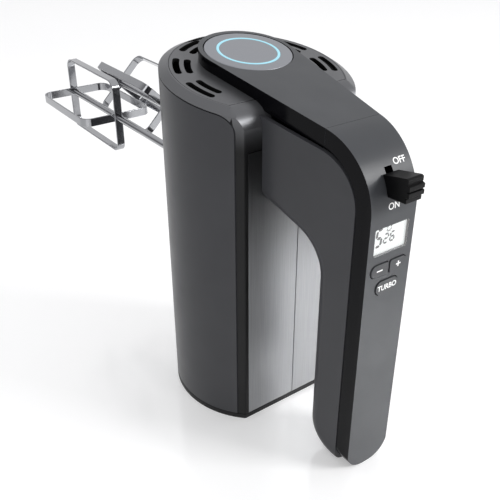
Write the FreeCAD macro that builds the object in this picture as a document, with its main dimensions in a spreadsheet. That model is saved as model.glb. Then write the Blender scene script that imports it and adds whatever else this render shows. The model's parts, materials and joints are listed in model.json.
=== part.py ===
"""Hand mixer that stands on its heel, as a parametric assembly.

Frame: the origin is on the motor's axis, in the plane of the heel. +Z points up
along the motor shaft, +X towards the handle, and the beaters point along -X.
"""
import FreeCAD, Part
import math
import os
import Sketcher
from FreeCAD import Placement, Rotation, Vector

doc = FreeCAD.newDocument("HandMixer")
sheet = doc.addObject("Spreadsheet::Sheet", "Sizes")


# ---------------------------------------------------------------- sizes
class Size:
    """A length or an angle: its value now, and the cell formula it comes from."""

    def __init__(self, value, text):
        self.value = float(value)
        self.text = text

    def __add__(self, other):
        other = as_size(other)
        return Size(self.value + other.value, "(%s + %s)" % (self.text, other.text))

    def __sub__(self, other):
        other = as_size(other)
        return Size(self.value - other.value, "(%s - %s)" % (self.text, other.text))

    def __mul__(self, other):
        other = as_size(other)
        return Size(self.value * other.value, "(%s * %s)" % (self.text, other.text))

    def __truediv__(self, other):
        other = as_size(other)
        return Size(self.value / other.value, "(%s / %s)" % (self.text, other.text))

    def __neg__(self):
        return Size(-self.value, "(-%s)" % self.text)

    def __radd__(self, other):
        return as_size(other) + self

    def __rsub__(self, other):
        return as_size(other) - self

    def __rmul__(self, other):
        return as_size(other) * self


def as_size(number):
    """A plain number as a Size; a Size stays as it is."""
    if isinstance(number, Size):
        return number
    return Size(number, "%.9g" % number if number >= 0 else "(%.9g)" % number)


def cos_of(angle):
    return Size(math.cos(math.radians(angle.value)), "cos(%s * 1deg)" % angle.text)


def sin_of(angle):
    return Size(math.sin(math.radians(angle.value)), "sin(%s * 1deg)" % angle.text)


def tan_of(angle):
    return Size(math.tan(math.radians(angle.value)), "tan(%s * 1deg)" % angle.text)


def root_of(square):
    return Size(math.sqrt(square.value), "sqrt(%s)" % square.text)


rows = 0


def cell(alias, number, note):
    """Write one driving number to the sheet and return it as a Size."""
    global rows
    rows += 1
    sheet.set("A%d" % rows, note)
    sheet.set("B%d" % rows, "%.9g" % number)
    sheet.setAlias("B%d" % rows, alias)
    return Size(number, "Sizes." + alias)


def bind(thing, path, size):
    """Drive one property of an object from the sheet."""
    thing.setExpression(path, as_size(size).text)


# body
body_radius = cell("body_radius", 52.5, "outer radius of the round body")
body_wall = cell("body_wall", 2.4, "wall of the wrap round the body")
flat_x = cell("flat_x", 38.4, "flat front face, from the motor axis")
corner_soft = cell("corner_soft", 2.0, "radius of the two upright front corners")
heel_thickness = cell("heel_thickness", 3.0, "heel plate")
seam_gap = cell("seam_gap", 0.4, "open seam between outer parts")
deck_height = cell("deck_height", 199.7, "vented deck, above the heel on the motor axis")
slope = cell("slope", 10.4, "fall of the deck and the handle top towards the front, degrees")
rim_width = cell("rim_width", 5.4, "rim round the vented deck")
rim_depth = cell("rim_depth", 3.7, "rim's outer wall above the wrap")
rim_fall = cell("rim_fall", 3.1, "fall of the rim's bevel over its width")
rim_flat = cell("rim_flat", 1.0, "level part of the rim")
skirt_wall = cell("skirt_wall", 1.6, "skirt of the frame inside the wrap")
skirt_depth = cell("skirt_depth", 12.0, "lower edge of the skirt below the deck")
roof_wall = cell("roof_wall", 4.0, "roof of the frame at the deck's ledge")
deck_thickness = cell("deck_thickness", 2.0, "vented deck plate")
deck_front = cell("deck_front", 27.9, "front edge of the vented deck")
shoulder_radius = cell("shoulder_radius", 13.0, "rounding from the deck to the flat face")
wrap_front = cell("wrap_front", 34.6, "front edges of the wrap")
wrap_corner = cell("wrap_corner", 9.0, "rounded upper front corners of the wrap")
frame_wall = cell("frame_wall", 3.0, "wall of the body frame")
panel_top = cell("panel_top", 172.0, "upper edge of the steel panels")
panel_thickness = cell("panel_thickness", 1.2, "steel panel sheet")
panel_side = cell("panel_side", 33.4, "side edge of the steel panels from the middle")
# vent slots
slot_width = cell("slot_width", 3.6, "vent slot")
slot_row_outer = cell("slot_row_outer", 43.2, "outer row of vent slots")
slot_row_inner = cell("slot_row_inner", 37.2, "inner row of vent slots")
slot_first = cell("slot_first", 78.0, "middle of the first vent slot, degrees from the handle")
slot_step = cell("slot_step", 38.5, "angle from slot to slot")
slot_half = cell("slot_half", 10.2, "half the angle of a slot")
# handle
handle_height = cell("handle_height", 206.1, "handle's top face, above the heel on the motor axis")
handle_front = cell("handle_front", 105.6, "front face of the handle")
handle_bend = cell("handle_bend", 36.0, "outer radius where the handle turns down")
cover_depth = cell("cover_depth", 9.0, "depth of the top and front covers")
cover_wall = cell("cover_wall", 2.4, "wall of the covers and side shells")
cover_seam = cell("cover_seam", 74.8, "seam between the top cover and the front cover")
cover_mid = cell("cover_mid", 17.0, "half width at the seam")
cover_end = cell("cover_end", 14.6, "half width of the front face")
cover_toe = cell("cover_toe", 13.0, "corner radius at the handle's lower end")
shell_toe = cell("shell_toe", 11.0, "corner radius at the side shells' lower end")
shell_gap = cell("shell_gap", 0.8, "shadow gap between covers and side shells")
shell_root = cell("shell_root", 25.3, "side shells' half width at the flat face")
shell_end = cell("shell_end", 15.0, "side shells' half width at the front")
grip_x = cell("grip_x", 73.9, "finger side of the grip")
grip_toe = cell("grip_toe", 22.0, "rounding at the grip's lower rear corner")
arch_height = cell("arch_height", 129.7, "corner over the finger gap")
arch_fall = cell("arch_fall", 22.0, "fall of the handle's underside, degrees")
arch_radius = cell("arch_radius", 24.0, "bend over the finger gap")
grip_soft = cell("grip_soft", 7.0, "rounded finger-side edges")
# eject button and light ring
disc_x = cell("disc_x", -8.4, "centre of the eject button")
disc_radius = cell("disc_radius", 24.0, "eject button")
disc_thickness = cell("disc_thickness", 2.6, "eject button plate")
boss_margin = cell("boss_margin", 2.8, "top cover round the eject button")
disc_gap = cell("disc_gap", 0.4, "gap round the eject button")
ring_radius = cell("ring_radius", 16.5, "light ring")
ring_width = cell("ring_width", 1.4, "light ring")
ring_depth = cell("ring_depth", 1.0, "light ring")
eject_travel = cell("eject_travel", 5.0, "eject button and ejector")
stem_x = cell("stem_x", 11.0, "eject stem, ahead of the button's centre")
stem_width = cell("stem_width", 8.0, "eject stem across")
stem_length = cell("stem_length", 25.0, "eject stem below the button plate")
carrier_depth = cell("carrier_depth", 11.5, "carrier plate below the handle's top face")
# beaters and drive
drive_height = cell("drive_height", 138.1, "beater axes above the heel")
beater_side = cell("beater_side", 19.7, "beater axes from the middle")
beater_shaft = cell("beater_shaft", 2.4, "radius of a beater's shaft")
cage_tip = cell("cage_tip", 214.4, "far end of a beater's cage from the motor axis")
cage_length = cell("cage_length", 77.6, "length of a beater's cage")
cage_half = cell("cage_half", 25.8, "half width of a beater's cage")
strip_width = cell("strip_width", 6.4, "flat strip of the cage")
strip_thickness = cell("strip_thickness", 1.1, "flat strip of the cage")
cage_corner = cell("cage_corner", 7.0, "bends of the cage strip")
spindle_radius = cell("spindle_radius", 4.6, "drive spindle")
fit_gap = cell("fit_gap", 0.08, "radial clearance of a shaft in its bore")
nose_radius = cell("nose_radius", 9.5, "beater socket collars")
nose_proud = cell("nose_proud", 2.5, "collars beyond the body")
module = cell("module", 1.0, "gear module")
wheel_teeth = cell("wheel_teeth", 30, "teeth of each worm wheel")
worm_starts = cell("worm_starts", 3, "threads of the worm")
wheel_width = cell("wheel_width", 8.0, "worm wheel")
worm_length = cell("worm_length", 24.0, "worm")
tooth_slack = cell("tooth_slack", 0.36, "backlash between worm and wheels")
shaft_radius = cell("shaft_radius", 2.5, "motor shaft")
# motor
stack_bottom = cell("stack_bottom", 60.0, "lower face of the motor's iron")
stack_height = cell("stack_height", 30.0, "motor's iron")
stator_x = cell("stator_x", 31.0, "half the stator's length")
stator_y = cell("stator_y", 25.0, "half the stator's width")
rotor_radius = cell("rotor_radius", 15.0, "armature iron")
air_gap = cell("air_gap", 0.5, "air gap round the armature")
coil_end = cell("coil_end", 7.0, "windings beyond the iron")
fan_radius = cell("fan_radius", 27.0, "cooling fan")
commutator_radius = cell("commutator_radius", 9.0, "commutator")
frame_bottom = cell("frame_bottom", 112.0, "gearbox frame's lower face")
frame_top = cell("frame_top", 163.0, "gearbox frame's upper face")
plate = cell("plate", 3.0, "gearbox frame's walls")
# switch and controls
knob_angle = cell("knob_angle", 26.5, "place of the slide knob on the bend, degrees")
knob_half = cell("knob_half", 4.9, "half the slide knob's width")
knob_height = cell("knob_height", 12.2, "slide knob")
knob_reach = cell("knob_reach", 15.1, "slide knob from the bend's surface")
knob_fall = cell("knob_fall", 3.0, "fall of the slide knob's top from its tip to the bend")
knob_under = cell("knob_under", 0.8, "fall of the slide knob's underside from its tip to the bend")
switch_travel = cell("switch_travel", 4.0, "slide knob, from on to off")
lcd_height = cell("lcd_height", 144.4, "middle of the display")
lcd_wide = cell("lcd_wide", 21.6, "display window")
lcd_tall = cell("lcd_tall", 14.2, "display window")
key_gap = cell("key_gap", 0.45, "gap round each key")
key_proud = cell("key_proud", 0.6, "keys beyond the front face")
key_travel = cell("key_travel", 1.0, "keys")
step_height = cell("step_height", 129.0, "middle of the minus and plus keys")
step_wide = cell("step_wide", 10.8, "minus and plus keys")
step_tall = cell("step_tall", 6.6, "minus and plus keys")
turbo_height = cell("turbo_height", 118.4, "middle of the turbo key")
turbo_wide = cell("turbo_wide", 14.4, "turbo key")
turbo_tall = cell("turbo_tall", 7.6, "turbo key")
board_x = cell("board_x", 97.0, "front face of the control board")
board_thickness = cell("board_thickness", 1.6, "circuit boards")
# cord inlet
inlet_height = cell("inlet_height", 17.0, "cord inlet above the heel")
inlet_radius = cell("inlet_radius", 3.4, "bore of the cord inlet")
inlet_wall = cell("inlet_wall", 2.6, "wall of the cord inlet")
inlet_length = cell("inlet_length", 14.0, "cord inlet")

grade = tan_of(slope)
lean = cos_of(slope)
heel_top = heel_thickness + seam_gap
doc.recompute()


# ---------------------------------------------------------------- drawing helpers
def origin_plane(body, role):
    """The body's own XY, XZ or YZ plane."""
    return [item for item in body.Origin.OriginFeatures if item.Role == role + "_Plane"][0]


def new_sketch(body, plane_name, offset=0.0):
    """An empty sketch on one of the body's own planes, moved along its normal."""
    sketch = body.newObject("Sketcher::SketchObject", "Sketch")
    sketch.AttachmentSupport = [(origin_plane(body, plane_name), "")]
    sketch.MapMode = "FlatFace"
    bind(sketch, "AttachmentOffset.Base.z", offset)
    return sketch


def hold(sketch, kind, *items):
    """Add a constraint; a last item that is a Size drives it from the sheet."""
    if isinstance(items[-1], Size):
        index = sketch.addConstraint(Sketcher.Constraint(kind, *items[:-1], items[-1].value))
        sketch.setExpression("Constraints[%d]" % index, items[-1].text)
    else:
        sketch.addConstraint(Sketcher.Constraint(kind, *items))


def hold_at(sketch, item, end, x, y):
    """Fix one point of a sketch item at (x, y)."""
    hold(sketch, "DistanceX", -1, 1, item, end, as_size(x))
    hold(sketch, "DistanceY", -1, 1, item, end, as_size(y))


def outline(sketch, corners):
    """A closed outline: corners are (x, y) or (x, y, radius) in order."""
    spots = [Vector(as_size(c[0]).value, as_size(c[1]).value, 0) for c in corners]
    count = len(corners)
    starts, ends, arcs = [None] * count, [None] * count, {}
    for i in range(count):
        here, before, after = spots[i], spots[i - 1], spots[(i + 1) % count]
        back = (before - here).normalize()
        ahead = (after - here).normalize()
        if len(corners[i]) == 2:
            starts[i], ends[i] = here, here
            continue
        radius = as_size(corners[i][2]).value
        half = back.getAngle(ahead) / 2
        reach = radius / math.tan(half)
        ends[i], starts[i] = here + back * reach, here + ahead * reach
        centre = here + (back + ahead).normalize() * (radius / math.sin(half))
        first, last = ends[i] - centre, starts[i] - centre
        leftward = first.cross(last).z > 0
        low = math.atan2(first.y, first.x) if leftward else math.atan2(last.y, last.x)
        sweep = first.getAngle(last)
        circle = Part.Circle(centre, Vector(0, 0, 1), radius)
        arcs[i] = (Part.ArcOfCircle(circle, low, low + sweep), 1 if leftward else 2)
    lines = []
    for i in range(count):
        lines.append(sketch.addGeometry(Part.LineSegment(starts[i], ends[(i + 1) % count])))
    for i in range(count):
        before, after = lines[i - 1], lines[i]
        if i in arcs:
            spot = sketch.addGeometry(Part.Point(spots[i]), True)
            arc = sketch.addGeometry(arcs[i][0])
            hold_at(sketch, spot, 1, corners[i][0], corners[i][1])
            hold(sketch, "PointOnObject", spot, 1, before)
            hold(sketch, "PointOnObject", spot, 1, after)
            hold(sketch, "Tangent", before, 2, arc, arcs[i][1])
            hold(sketch, "Tangent", after, 1, arc, 3 - arcs[i][1])
            hold(sketch, "Radius", arc, as_size(corners[i][2]))
        else:
            hold(sketch, "Coincident", before, 2, after, 1)
            hold_at(sketch, after, 1, corners[i][0], corners[i][1])


def rectangle(sketch, left, low, right, high, radius=None):
    """An upright rectangle, with or without rounded corners."""
    extra = () if radius is None else (radius,)
    outline(sketch, [(left, low) + extra, (right, low) + extra,
                     (right, high) + extra, (left, high) + extra])


def circle(sketch, x, y, radius):
    """A full circle."""
    spot = Vector(as_size(x).value, as_size(y).value, 0)
    item = sketch.addGeometry(Part.Circle(spot, Vector(0, 0, 1), as_size(radius).value))
    hold_at(sketch, item, 3, x, y)
    hold(sketch, "Radius", item, as_size(radius))


def body_outline(sketch, inset):
    """The body's plan: a circle cut by the flat face, its two corners rounded."""
    radius, flat = body_radius - inset, flat_x - inset
    soft = corner_soft
    middle_x = flat - soft
    middle_y = root_of((radius - soft) * (radius - soft) - middle_x * middle_x)
    turn = math.atan2(middle_y.value, middle_x.value)
    normal = Vector(0, 0, 1)
    low = Vector(middle_x.value, -middle_y.value, 0)
    high = Vector(middle_x.value, middle_y.value, 0)
    wide = sketch.addGeometry(Part.ArcOfCircle(
        Part.Circle(Vector(), normal, radius.value), turn, 2 * math.pi - turn))
    lower = sketch.addGeometry(Part.ArcOfCircle(Part.Circle(low, normal, soft.value), -turn, 0))
    face = sketch.addGeometry(Part.LineSegment(
        low + Vector(soft.value, 0, 0), high + Vector(soft.value, 0, 0)))
    upper = sketch.addGeometry(Part.ArcOfCircle(Part.Circle(high, normal, soft.value), 0, turn))
    hold(sketch, "Coincident", wide, 3, -1, 1)
    hold(sketch, "Radius", wide, radius)
    hold(sketch, "Radius", lower, soft)
    hold(sketch, "Radius", upper, soft)
    hold(sketch, "Tangent", wide, 2, lower, 1)
    hold(sketch, "Tangent", lower, 2, face, 1)
    hold(sketch, "Tangent", face, 2, upper, 1)
    hold(sketch, "Tangent", upper, 2, wide, 1)
    hold(sketch, "Vertical", face)
    hold(sketch, "DistanceX", -1, 1, face, 1, flat)


def arc_slot(sketch, radius, width, middle, half):
    """A slot bent round the origin, with round ends."""
    first, last = math.radians((middle - half).value), math.radians((middle + half).value)
    cap, normal = width.value / 2, Vector(0, 0, 1)
    outer = sketch.addGeometry(Part.ArcOfCircle(
        Part.Circle(Vector(), normal, radius.value + cap), first, last))
    inner = sketch.addGeometry(Part.ArcOfCircle(
        Part.Circle(Vector(), normal, radius.value - cap), first, last))
    hold(sketch, "Coincident", outer, 3, -1, 1)
    hold(sketch, "Coincident", inner, 3, -1, 1)
    hold(sketch, "Radius", outer, radius + width / 2)
    hold(sketch, "Radius", inner, radius - width / 2)
    for angle, end, size, start in ((first, 1, middle - half, first - math.pi),
                                    (last, 2, middle + half, last)):
        spot = Vector(radius.value * math.cos(angle), radius.value * math.sin(angle), 0)
        item = sketch.addGeometry(Part.ArcOfCircle(
            Part.Circle(spot, normal, cap), start, start + math.pi))
        near, far = (2, 1) if end == 1 else (1, 2)
        hold(sketch, "Tangent", outer, end, item, near)
        hold(sketch, "Tangent", inner, end, item, far)
        if abs(math.sin(angle)) > abs(math.cos(angle)):
            hold(sketch, "DistanceX", -1, 1, item, 3, radius * cos_of(size))
        else:
            hold(sketch, "DistanceY", -1, 1, item, 3, radius * sin_of(size))


# ---------------------------------------------------------------- solid helpers
def new_body(label):
    body = doc.addObject("PartDesign::Body", "Body")
    body.Label = label
    return body


def pad(body, plane_name, offset, length, draw, both=False):
    """Draw a profile and pad it along the plane's normal, or to both sides."""
    sketch = new_sketch(body, plane_name, offset)
    draw(sketch)
    feature = body.newObject("PartDesign::Pad", "Pad")
    feature.Profile = sketch
    feature.SideType = "Symmetric" if both else "One side"
    bind(feature, "Length", length)
    sketch.Visibility = False
    return feature


def pocket(body, plane_name, offset, length, draw, both=False, ahead=True):
    """Draw a profile and cut it along the plane's normal, or to both sides."""
    sketch = new_sketch(body, plane_name, offset)
    draw(sketch)
    feature = body.newObject("PartDesign::Pocket", "Pocket")
    feature.Profile = sketch
    feature.SideType = "Symmetric" if both else "One side"
    feature.Reversed = ahead and not both
    bind(feature, "Length", length)
    return feature


def turned(label, corners):
    """A solid of revolution about the sketch's upright axis: corners are (radius, height)."""
    body = new_body(label)
    sketch = new_sketch(body, "XZ")
    outline(sketch, corners)
    feature = body.newObject("PartDesign::Revolution", "Revolution")
    feature.Profile = sketch
    feature.ReferenceAxis = (sketch, ["V_Axis"])
    feature.Angle = 360
    return body


TURNS = {"+Z": Rotation(), "-X": Rotation(Vector(0, 1, 0), -90), "+X": Rotation(Vector(0, 1, 0), 90),
         "+Y": Rotation(Vector(1, 0, 0), -90), "-Y": Rotation(Vector(1, 0, 0), 90)}


def place(thing, x=0.0, y=0.0, z=0.0, towards="+Z"):
    """Stand a thing at (x, y, z) with its own Z along one of the main directions."""
    thing.Placement = Placement(Vector(), TURNS[towards])
    bind(thing, "Placement.Base.x", x)
    bind(thing, "Placement.Base.y", y)
    bind(thing, "Placement.Base.z", z)
    return thing


def tilt(thing, x, y, z, angle=slope, axis=Vector(0, 1, 0)):
    """Stand a thing at (x, y, z), leaning by an angle of the sheet about an axis."""
    thing.Placement = Placement(Vector(), Rotation(axis, as_size(angle).value))
    bind(thing, "Placement.Base.x", x)
    bind(thing, "Placement.Base.y", y)
    bind(thing, "Placement.Base.z", z)
    thing.setExpression("Placement.Rotation.Angle", as_size(angle).text + " * 1deg")
    return thing


def rod(label, radius, length, x=0.0, y=0.0, z=0.0, towards="+Z"):
    """A plain cylinder from (x, y, z) along one of the main directions."""
    thing = doc.addObject("Part::Cylinder", "Cylinder")
    thing.Label = label
    bind(thing, "Radius", radius)
    bind(thing, "Height", length)
    return place(thing, x, y, z, towards)


def block(label, left, right, near, far, low, high):
    """A plain box between two corners."""
    thing = doc.addObject("Part::Box", "Box")
    thing.Label = label
    bind(thing, "Length", as_size(right) - left)
    bind(thing, "Width", as_size(far) - near)
    bind(thing, "Height", as_size(high) - low)
    return place(thing, left, near, low)


def cut(label, base, *tools):
    """The base less each tool."""
    for number, tool in enumerate(tools):
        thing = doc.addObject("Part::Cut", "Cut")
        thing.Base, thing.Tool = base, tool
        thing.Label = label if number == len(tools) - 1 else label + "_step%d" % number
        base = thing
    return base


def join(label, *pieces):
    """The union of the pieces."""
    thing = doc.addObject("Part::MultiFuse", "Fusion")
    thing.Shapes = list(pieces)
    thing.Refine = True
    thing.Label = label
    return thing


def group(label, *pieces):
    """Separate solids kept in one node, such as a set of screws."""
    thing = doc.addObject("Part::Compound", "Compound")
    thing.Links = list(pieces)
    thing.Label = label
    return thing


def overlap(label, *pieces):
    """What all the pieces share."""
    thing = doc.addObject("Part::MultiCommon", "Common")
    thing.Shapes = list(pieces)
    thing.Label = label
    return thing


NODES = []


def node(thing):
    """Mark a finished piece to be written to its own file."""
    NODES.append(thing)
    return thing


def tube(label, outer, inner, length, x=0.0, y=0.0, z=0.0, towards="+Z"):
    """A plain ring or sleeve."""
    body = turned(label, [(inner, 0.0), (outer, 0.0), (outer, length), (inner, length)])
    return place(body, x, y, z, towards)


# ---------------------------------------------------------------- shared surfaces
def deck_level(x, below=0.0):
    """Height of the sloping deck at x, less a depth measured square to it."""
    return deck_height - as_size(below) / lean - grade * x


def handle_level(x, below=0.0):
    """Height of the handle's sloping top face at x, less a depth square to it."""
    return handle_height - as_size(below) / lean - grade * x


def body_prism(label, inset, low, high):
    """The body's plan as a solid between two heights."""
    body = new_body(label)
    pad(body, "XY", low, as_size(high) - low, lambda sketch: body_outline(sketch, as_size(inset)))
    return body


def side_prism(label, half, corners):
    """A profile in the XZ plane, as wide as twice the half."""
    body = new_body(label)
    pad(body, "XZ", 0.0, as_size(half) * 2, lambda sketch: outline(sketch, corners), both=True)
    return body


def plan_prism(label, low, high, corners):
    """A profile in the XY plane between two heights."""
    body = new_body(label)
    pad(body, "XY", low, as_size(high) - low, lambda sketch: outline(sketch, corners))
    return body


def front_prism(label, corners):
    """A profile in the YZ plane, from the motor axis to beyond the handle."""
    body = new_body(label)
    pad(body, "YZ", 0.0, handle_front + 20, lambda sketch: outline(sketch, corners))
    return body


reach = body_radius + 10


def body_profile(label, grow, low, half=None):
    """Side view of the body under its deck and rounded shoulder, grown by a gap."""
    front = flat_x + grow
    return side_prism(label, half or reach, [
        (-reach, low), (front, low), (front, deck_level(front, -as_size(grow)), shoulder_radius + grow),
        (-reach, deck_level(-reach, -as_size(grow)))])


def wrap_profile(label, grow):
    """Side view of the dark wrap: its sloping upper seam and rounded front corner."""
    front, depth = wrap_front + grow, rim_depth - as_size(grow)
    return side_prism(label, reach, [
        (-reach, heel_top - grow), (front, heel_top - grow),
        (front, deck_level(front, depth), wrap_corner + grow),
        (-reach, deck_level(-reach, depth))])


# ---------------------------------------------------------------- body casing
def make_body_shell():
    """Dark wrap round the body, with the two beater sockets' holes and the cord inlet's hole."""
    tall = deck_height + body_radius * grade
    ring = cut("wrap_ring", body_prism("wrap_outer", 0.0, heel_top, tall),
               body_prism("wrap_inner", body_wall, heel_top - 1, tall + 1))
    wrap = overlap("wrap_cut", ring, wrap_profile("wrap_side", as_size(0.0)))
    holes = [rod("socket_hole", nose_radius + fit_gap, body_radius, -flat_x, side, drive_height, "-X")
             for side in (beater_side, -beater_side)]
    inlet = rod("inlet_hole", inlet_radius + inlet_wall + fit_gap, body_radius, -flat_x, 0.0,
                inlet_height, "-X")
    return node(cut("body_shell", wrap, *holes, inlet))


def make_body_frame():
    """Satin frame: bevelled rim, shoulder over the flat face, corner posts and a skirt."""
    tall = deck_height + body_radius * grade
    inside = body_wall + lip_gap
    solid = overlap("frame_solid", body_prism("frame_outer", 0.0, heel_top, tall),
                    body_profile("frame_side", as_size(0.0), heel_top), rim_bevel())
    core = overlap("frame_core", body_prism("frame_core_plan", inside + skirt_wall, heel_top - 1, tall),
                   body_profile("frame_core_side", -roof_wall, heel_top - 1))
    well = overlap("deck_well",
                   side_prism("deck_well_side", reach, [
                       (-reach, deck_level(-reach, deck_thickness)),
                       (deck_front + seam_gap, deck_level(deck_front + seam_gap, deck_thickness)),
                       (deck_front + seam_gap, tall + 2), (-reach, tall + 2)]),
                   rod("deck_round", deck_edge + seam_gap / 2, tall, 0.0, 0.0, heel_top))
    inner = overlap("deck_lip",
                    block("deck_lip_side", -reach, deck_front - deck_lip, -reach, reach,
                          panel_top, tall + 2),
                    rod("deck_lip_round", deck_edge - deck_lip, tall, 0.0, 0.0, heel_top))
    window = block("panel_window", flat_x - frame_wall - 4, flat_x + 5, -panel_side - seam_gap / 2,
                   panel_side + seam_gap / 2, heel_top - 1, panel_top + seam_gap)
    wrap_room = cut("wrap_room", wrap_profile("wrap_room_side", seam_gap * 1.5),
                    body_prism("wrap_room_core", inside, heel_top - 1, tall + 1))
    behind = wrap_front - skirt_wall * 4
    under = side_prism("skirt_clear", reach, [
        (-reach, heel_top - 1), (behind, heel_top - 1), (behind, deck_level(behind, skirt_depth)),
        (-reach, deck_level(-reach, skirt_depth))])
    return node(cut("body_frame", solid, core, well, inner, wrap_room, under, window))


def rim_bevel():
    """A leaning cone that lets the rim fall from the deck's edge to the wrap."""
    deep, above = 60.0, 1.0
    growth = rim_width / rim_fall
    thing = doc.addObject("Part::Cone", "Cone")
    thing.Label = "rim_cone"
    bind(thing, "Radius1", deck_edge + rim_flat + growth * deep)
    bind(thing, "Radius2", deck_edge + rim_flat - growth * above)
    bind(thing, "Height", deep + above)
    cone = tilt(thing, -deep * sin_of(slope), 0.0, deck_height - deep * lean)
    foot = block("rim_foot", -reach, reach, -reach, reach, heel_top - 1, deck_height - deep + 15)
    return join("rim_room", cone, foot)


def make_vent_deck():
    """Sloping deck plate with two rows of bent vent slots and a round well under the button."""
    blank = overlap("deck_blank",
                    side_prism("deck_side", reach, [
                        (-reach, deck_level(-reach, deck_thickness)),
                        (deck_front, deck_level(deck_front, deck_thickness)),
                        (deck_front, deck_level(deck_front)), (-reach, deck_level(-reach))]),
                    rod("deck_disc", deck_edge, deck_height * 2, 0.0, 0.0, heel_top))
    body = new_body("slot_cutters")

    def slots(sketch):
        for side in (1, -1):
            for count in range(3):
                middle = (slot_first + slot_step * count) * side
                arc_slot(sketch, slot_row_outer, slot_width, middle, slot_half)
                arc_slot(sketch, slot_row_inner, slot_width, middle, slot_half)
    pad(body, "XY", panel_top, deck_height, slots)
    return node(cut("vent_deck", blank, body,
                    disc_rod("button_well", disc_radius + disc_gap * 2, -20.0, 10.0)))


def make_steel_panels():
    """Two brushed steel sheets side by side on the flat face."""
    for label, near, far in (("steel_panel_left", seam_gap / 2, panel_side),
                             ("steel_panel_right", -panel_side, -seam_gap / 2)):
        node(block(label, flat_x - panel_thickness, flat_x, near, far, heel_top, panel_top))


def make_panel_backing():
    """Inner wall of the body behind the steel sheets."""
    return node(block("front_wall", flat_x - panel_thickness - frame_wall, flat_x - panel_thickness,
                      -panel_side - seam_gap / 2, panel_side + seam_gap / 2, heel_thickness, panel_top))


def make_heel():
    """Heel plate that closes the body, with air outlets and four countersunk screws."""
    body = new_body("heel_plate")
    pad(body, "XY", 0.0, heel_thickness, lambda sketch: body_outline(sketch, as_size(0.0)))

    def outlets(sketch):
        for side in (1, -1):
            for count in range(3):
                arc_slot(sketch, outlet_row, slot_width, (90 + slot_step * (count - 1)) * side,
                         slot_half)
    pocket(body, "XY", 0.0, heel_thickness * 4, outlets, both=True)

    def screw_holes(sketch):
        for x, y in heel_screw_spots:
            circle(sketch, x, y, screw_radius + fit_gap)
    pocket(body, "XY", 0.0, heel_thickness * 4, screw_holes, both=True)

    def head_seats(sketch):
        for x, y in heel_screw_spots:
            circle(sketch, x, y, screw_head + fit_gap)
    pocket(body, "XY", 0.0, screw_seat * 2, head_seats, both=True)
    node(body)
    posts = [tube("heel_post%d" % number, screw_head + 1, screw_radius, screw_length, x, y,
                  heel_thickness) for number, (x, y) in enumerate(heel_screw_spots)]
    node(group("heel_posts", *posts))
    columns = [block("column", left, right, near, far, heel_thickness, frame_bottom)
               for left, right in ((column_x, column_x + column_wide),
                                   (-frame_front, -frame_front + column_wide))
               for near, far in ((frame_side - column_wide, frame_side),
                                 (-frame_side, -frame_side + column_wide))]
    node(group("frame_columns", *columns))
    node(group("heel_screws", *[screw("heel_screw%d" % number, x, y, screw_seat, "+Z")
                                for number, (x, y) in enumerate(heel_screw_spots)]))


def screw(label, x, y, z, towards):
    """A pan-head screw whose shank starts at (x, y, z)."""
    body = turned(label, [
        (0.0, -screw_cap), (screw_head, -screw_cap), (screw_head, 0.0), (screw_radius - fit_gap, 0.0),
        (screw_radius - fit_gap, screw_length), (0.0, screw_length)])
    return place(body, x, y, z, towards)


# ---------------------------------------------------------------- handle
def disc_point(ahead, above):
    """A point in the button's leaning frame, as (x, z)."""
    return (disc_x + ahead * lean + above * sin_of(slope),
            handle_level(disc_x) - ahead * sin_of(slope) + above * lean)


def disc_rod(label, radius, low, high, ahead=0.0, side=0.0):
    """A cylinder square to the handle's top face, between two depths."""
    thing = doc.addObject("Part::Cylinder", "Cylinder")
    thing.Label = label
    bind(thing, "Radius", radius)
    bind(thing, "Height", as_size(high) - low)
    x, z = disc_point(as_size(ahead), as_size(low))
    return tilt(thing, x, side, z)


def disc_block(label, left, right, near, far, low, high):
    """A box square to the handle's top face."""
    thing = doc.addObject("Part::Box", "Box")
    thing.Label = label
    bind(thing, "Length", as_size(right) - left)
    bind(thing, "Width", as_size(far) - near)
    bind(thing, "Height", as_size(high) - low)
    x, z = disc_point(as_size(left), as_size(low))
    return tilt(thing, x, near, z)


def disc_turned(label, corners):
    """A solid of revolution about the button's axis: corners are (radius, height)."""
    x, z = disc_point(as_size(0.0), as_size(0.0))
    return tilt(turned(label, corners), x, 0.0, z)


def cover_plan(label, inset):
    """Plan of the handle's covers: round about the button, then narrowing to the front."""
    boss = disc_radius + boss_margin - inset
    fall = (boss - cover_mid + inset) / (cover_seam - disc_x)
    rear, root = disc_x - boss, boss + fall * boss
    mid, end, tip = cover_mid - inset, cover_end - inset, handle_front + 5
    return plan_prism(label, -1.0, handle_height * 1.2, [
        (rear, -root, boss - 0.5), (cover_seam, -mid), (handle_front - 3, -end), (tip, -end),
        (tip, end), (handle_front - 3, end), (cover_seam, mid), (rear, root, boss - 0.5)])


def toe_front(label, half, inset, toe):
    """Front view of the handle: its lower end is rounded."""
    wide, top = half - inset, handle_height * 1.2
    narrow = half - inset
    return front_prism(label, [(-narrow, inset, toe - inset), (narrow, inset, toe - inset),
                               (narrow, grip_x), (wide + 20, grip_x), (wide + 20, top),
                               (-wide - 20, top), (-wide - 20, grip_x), (-narrow, grip_x)])


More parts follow.
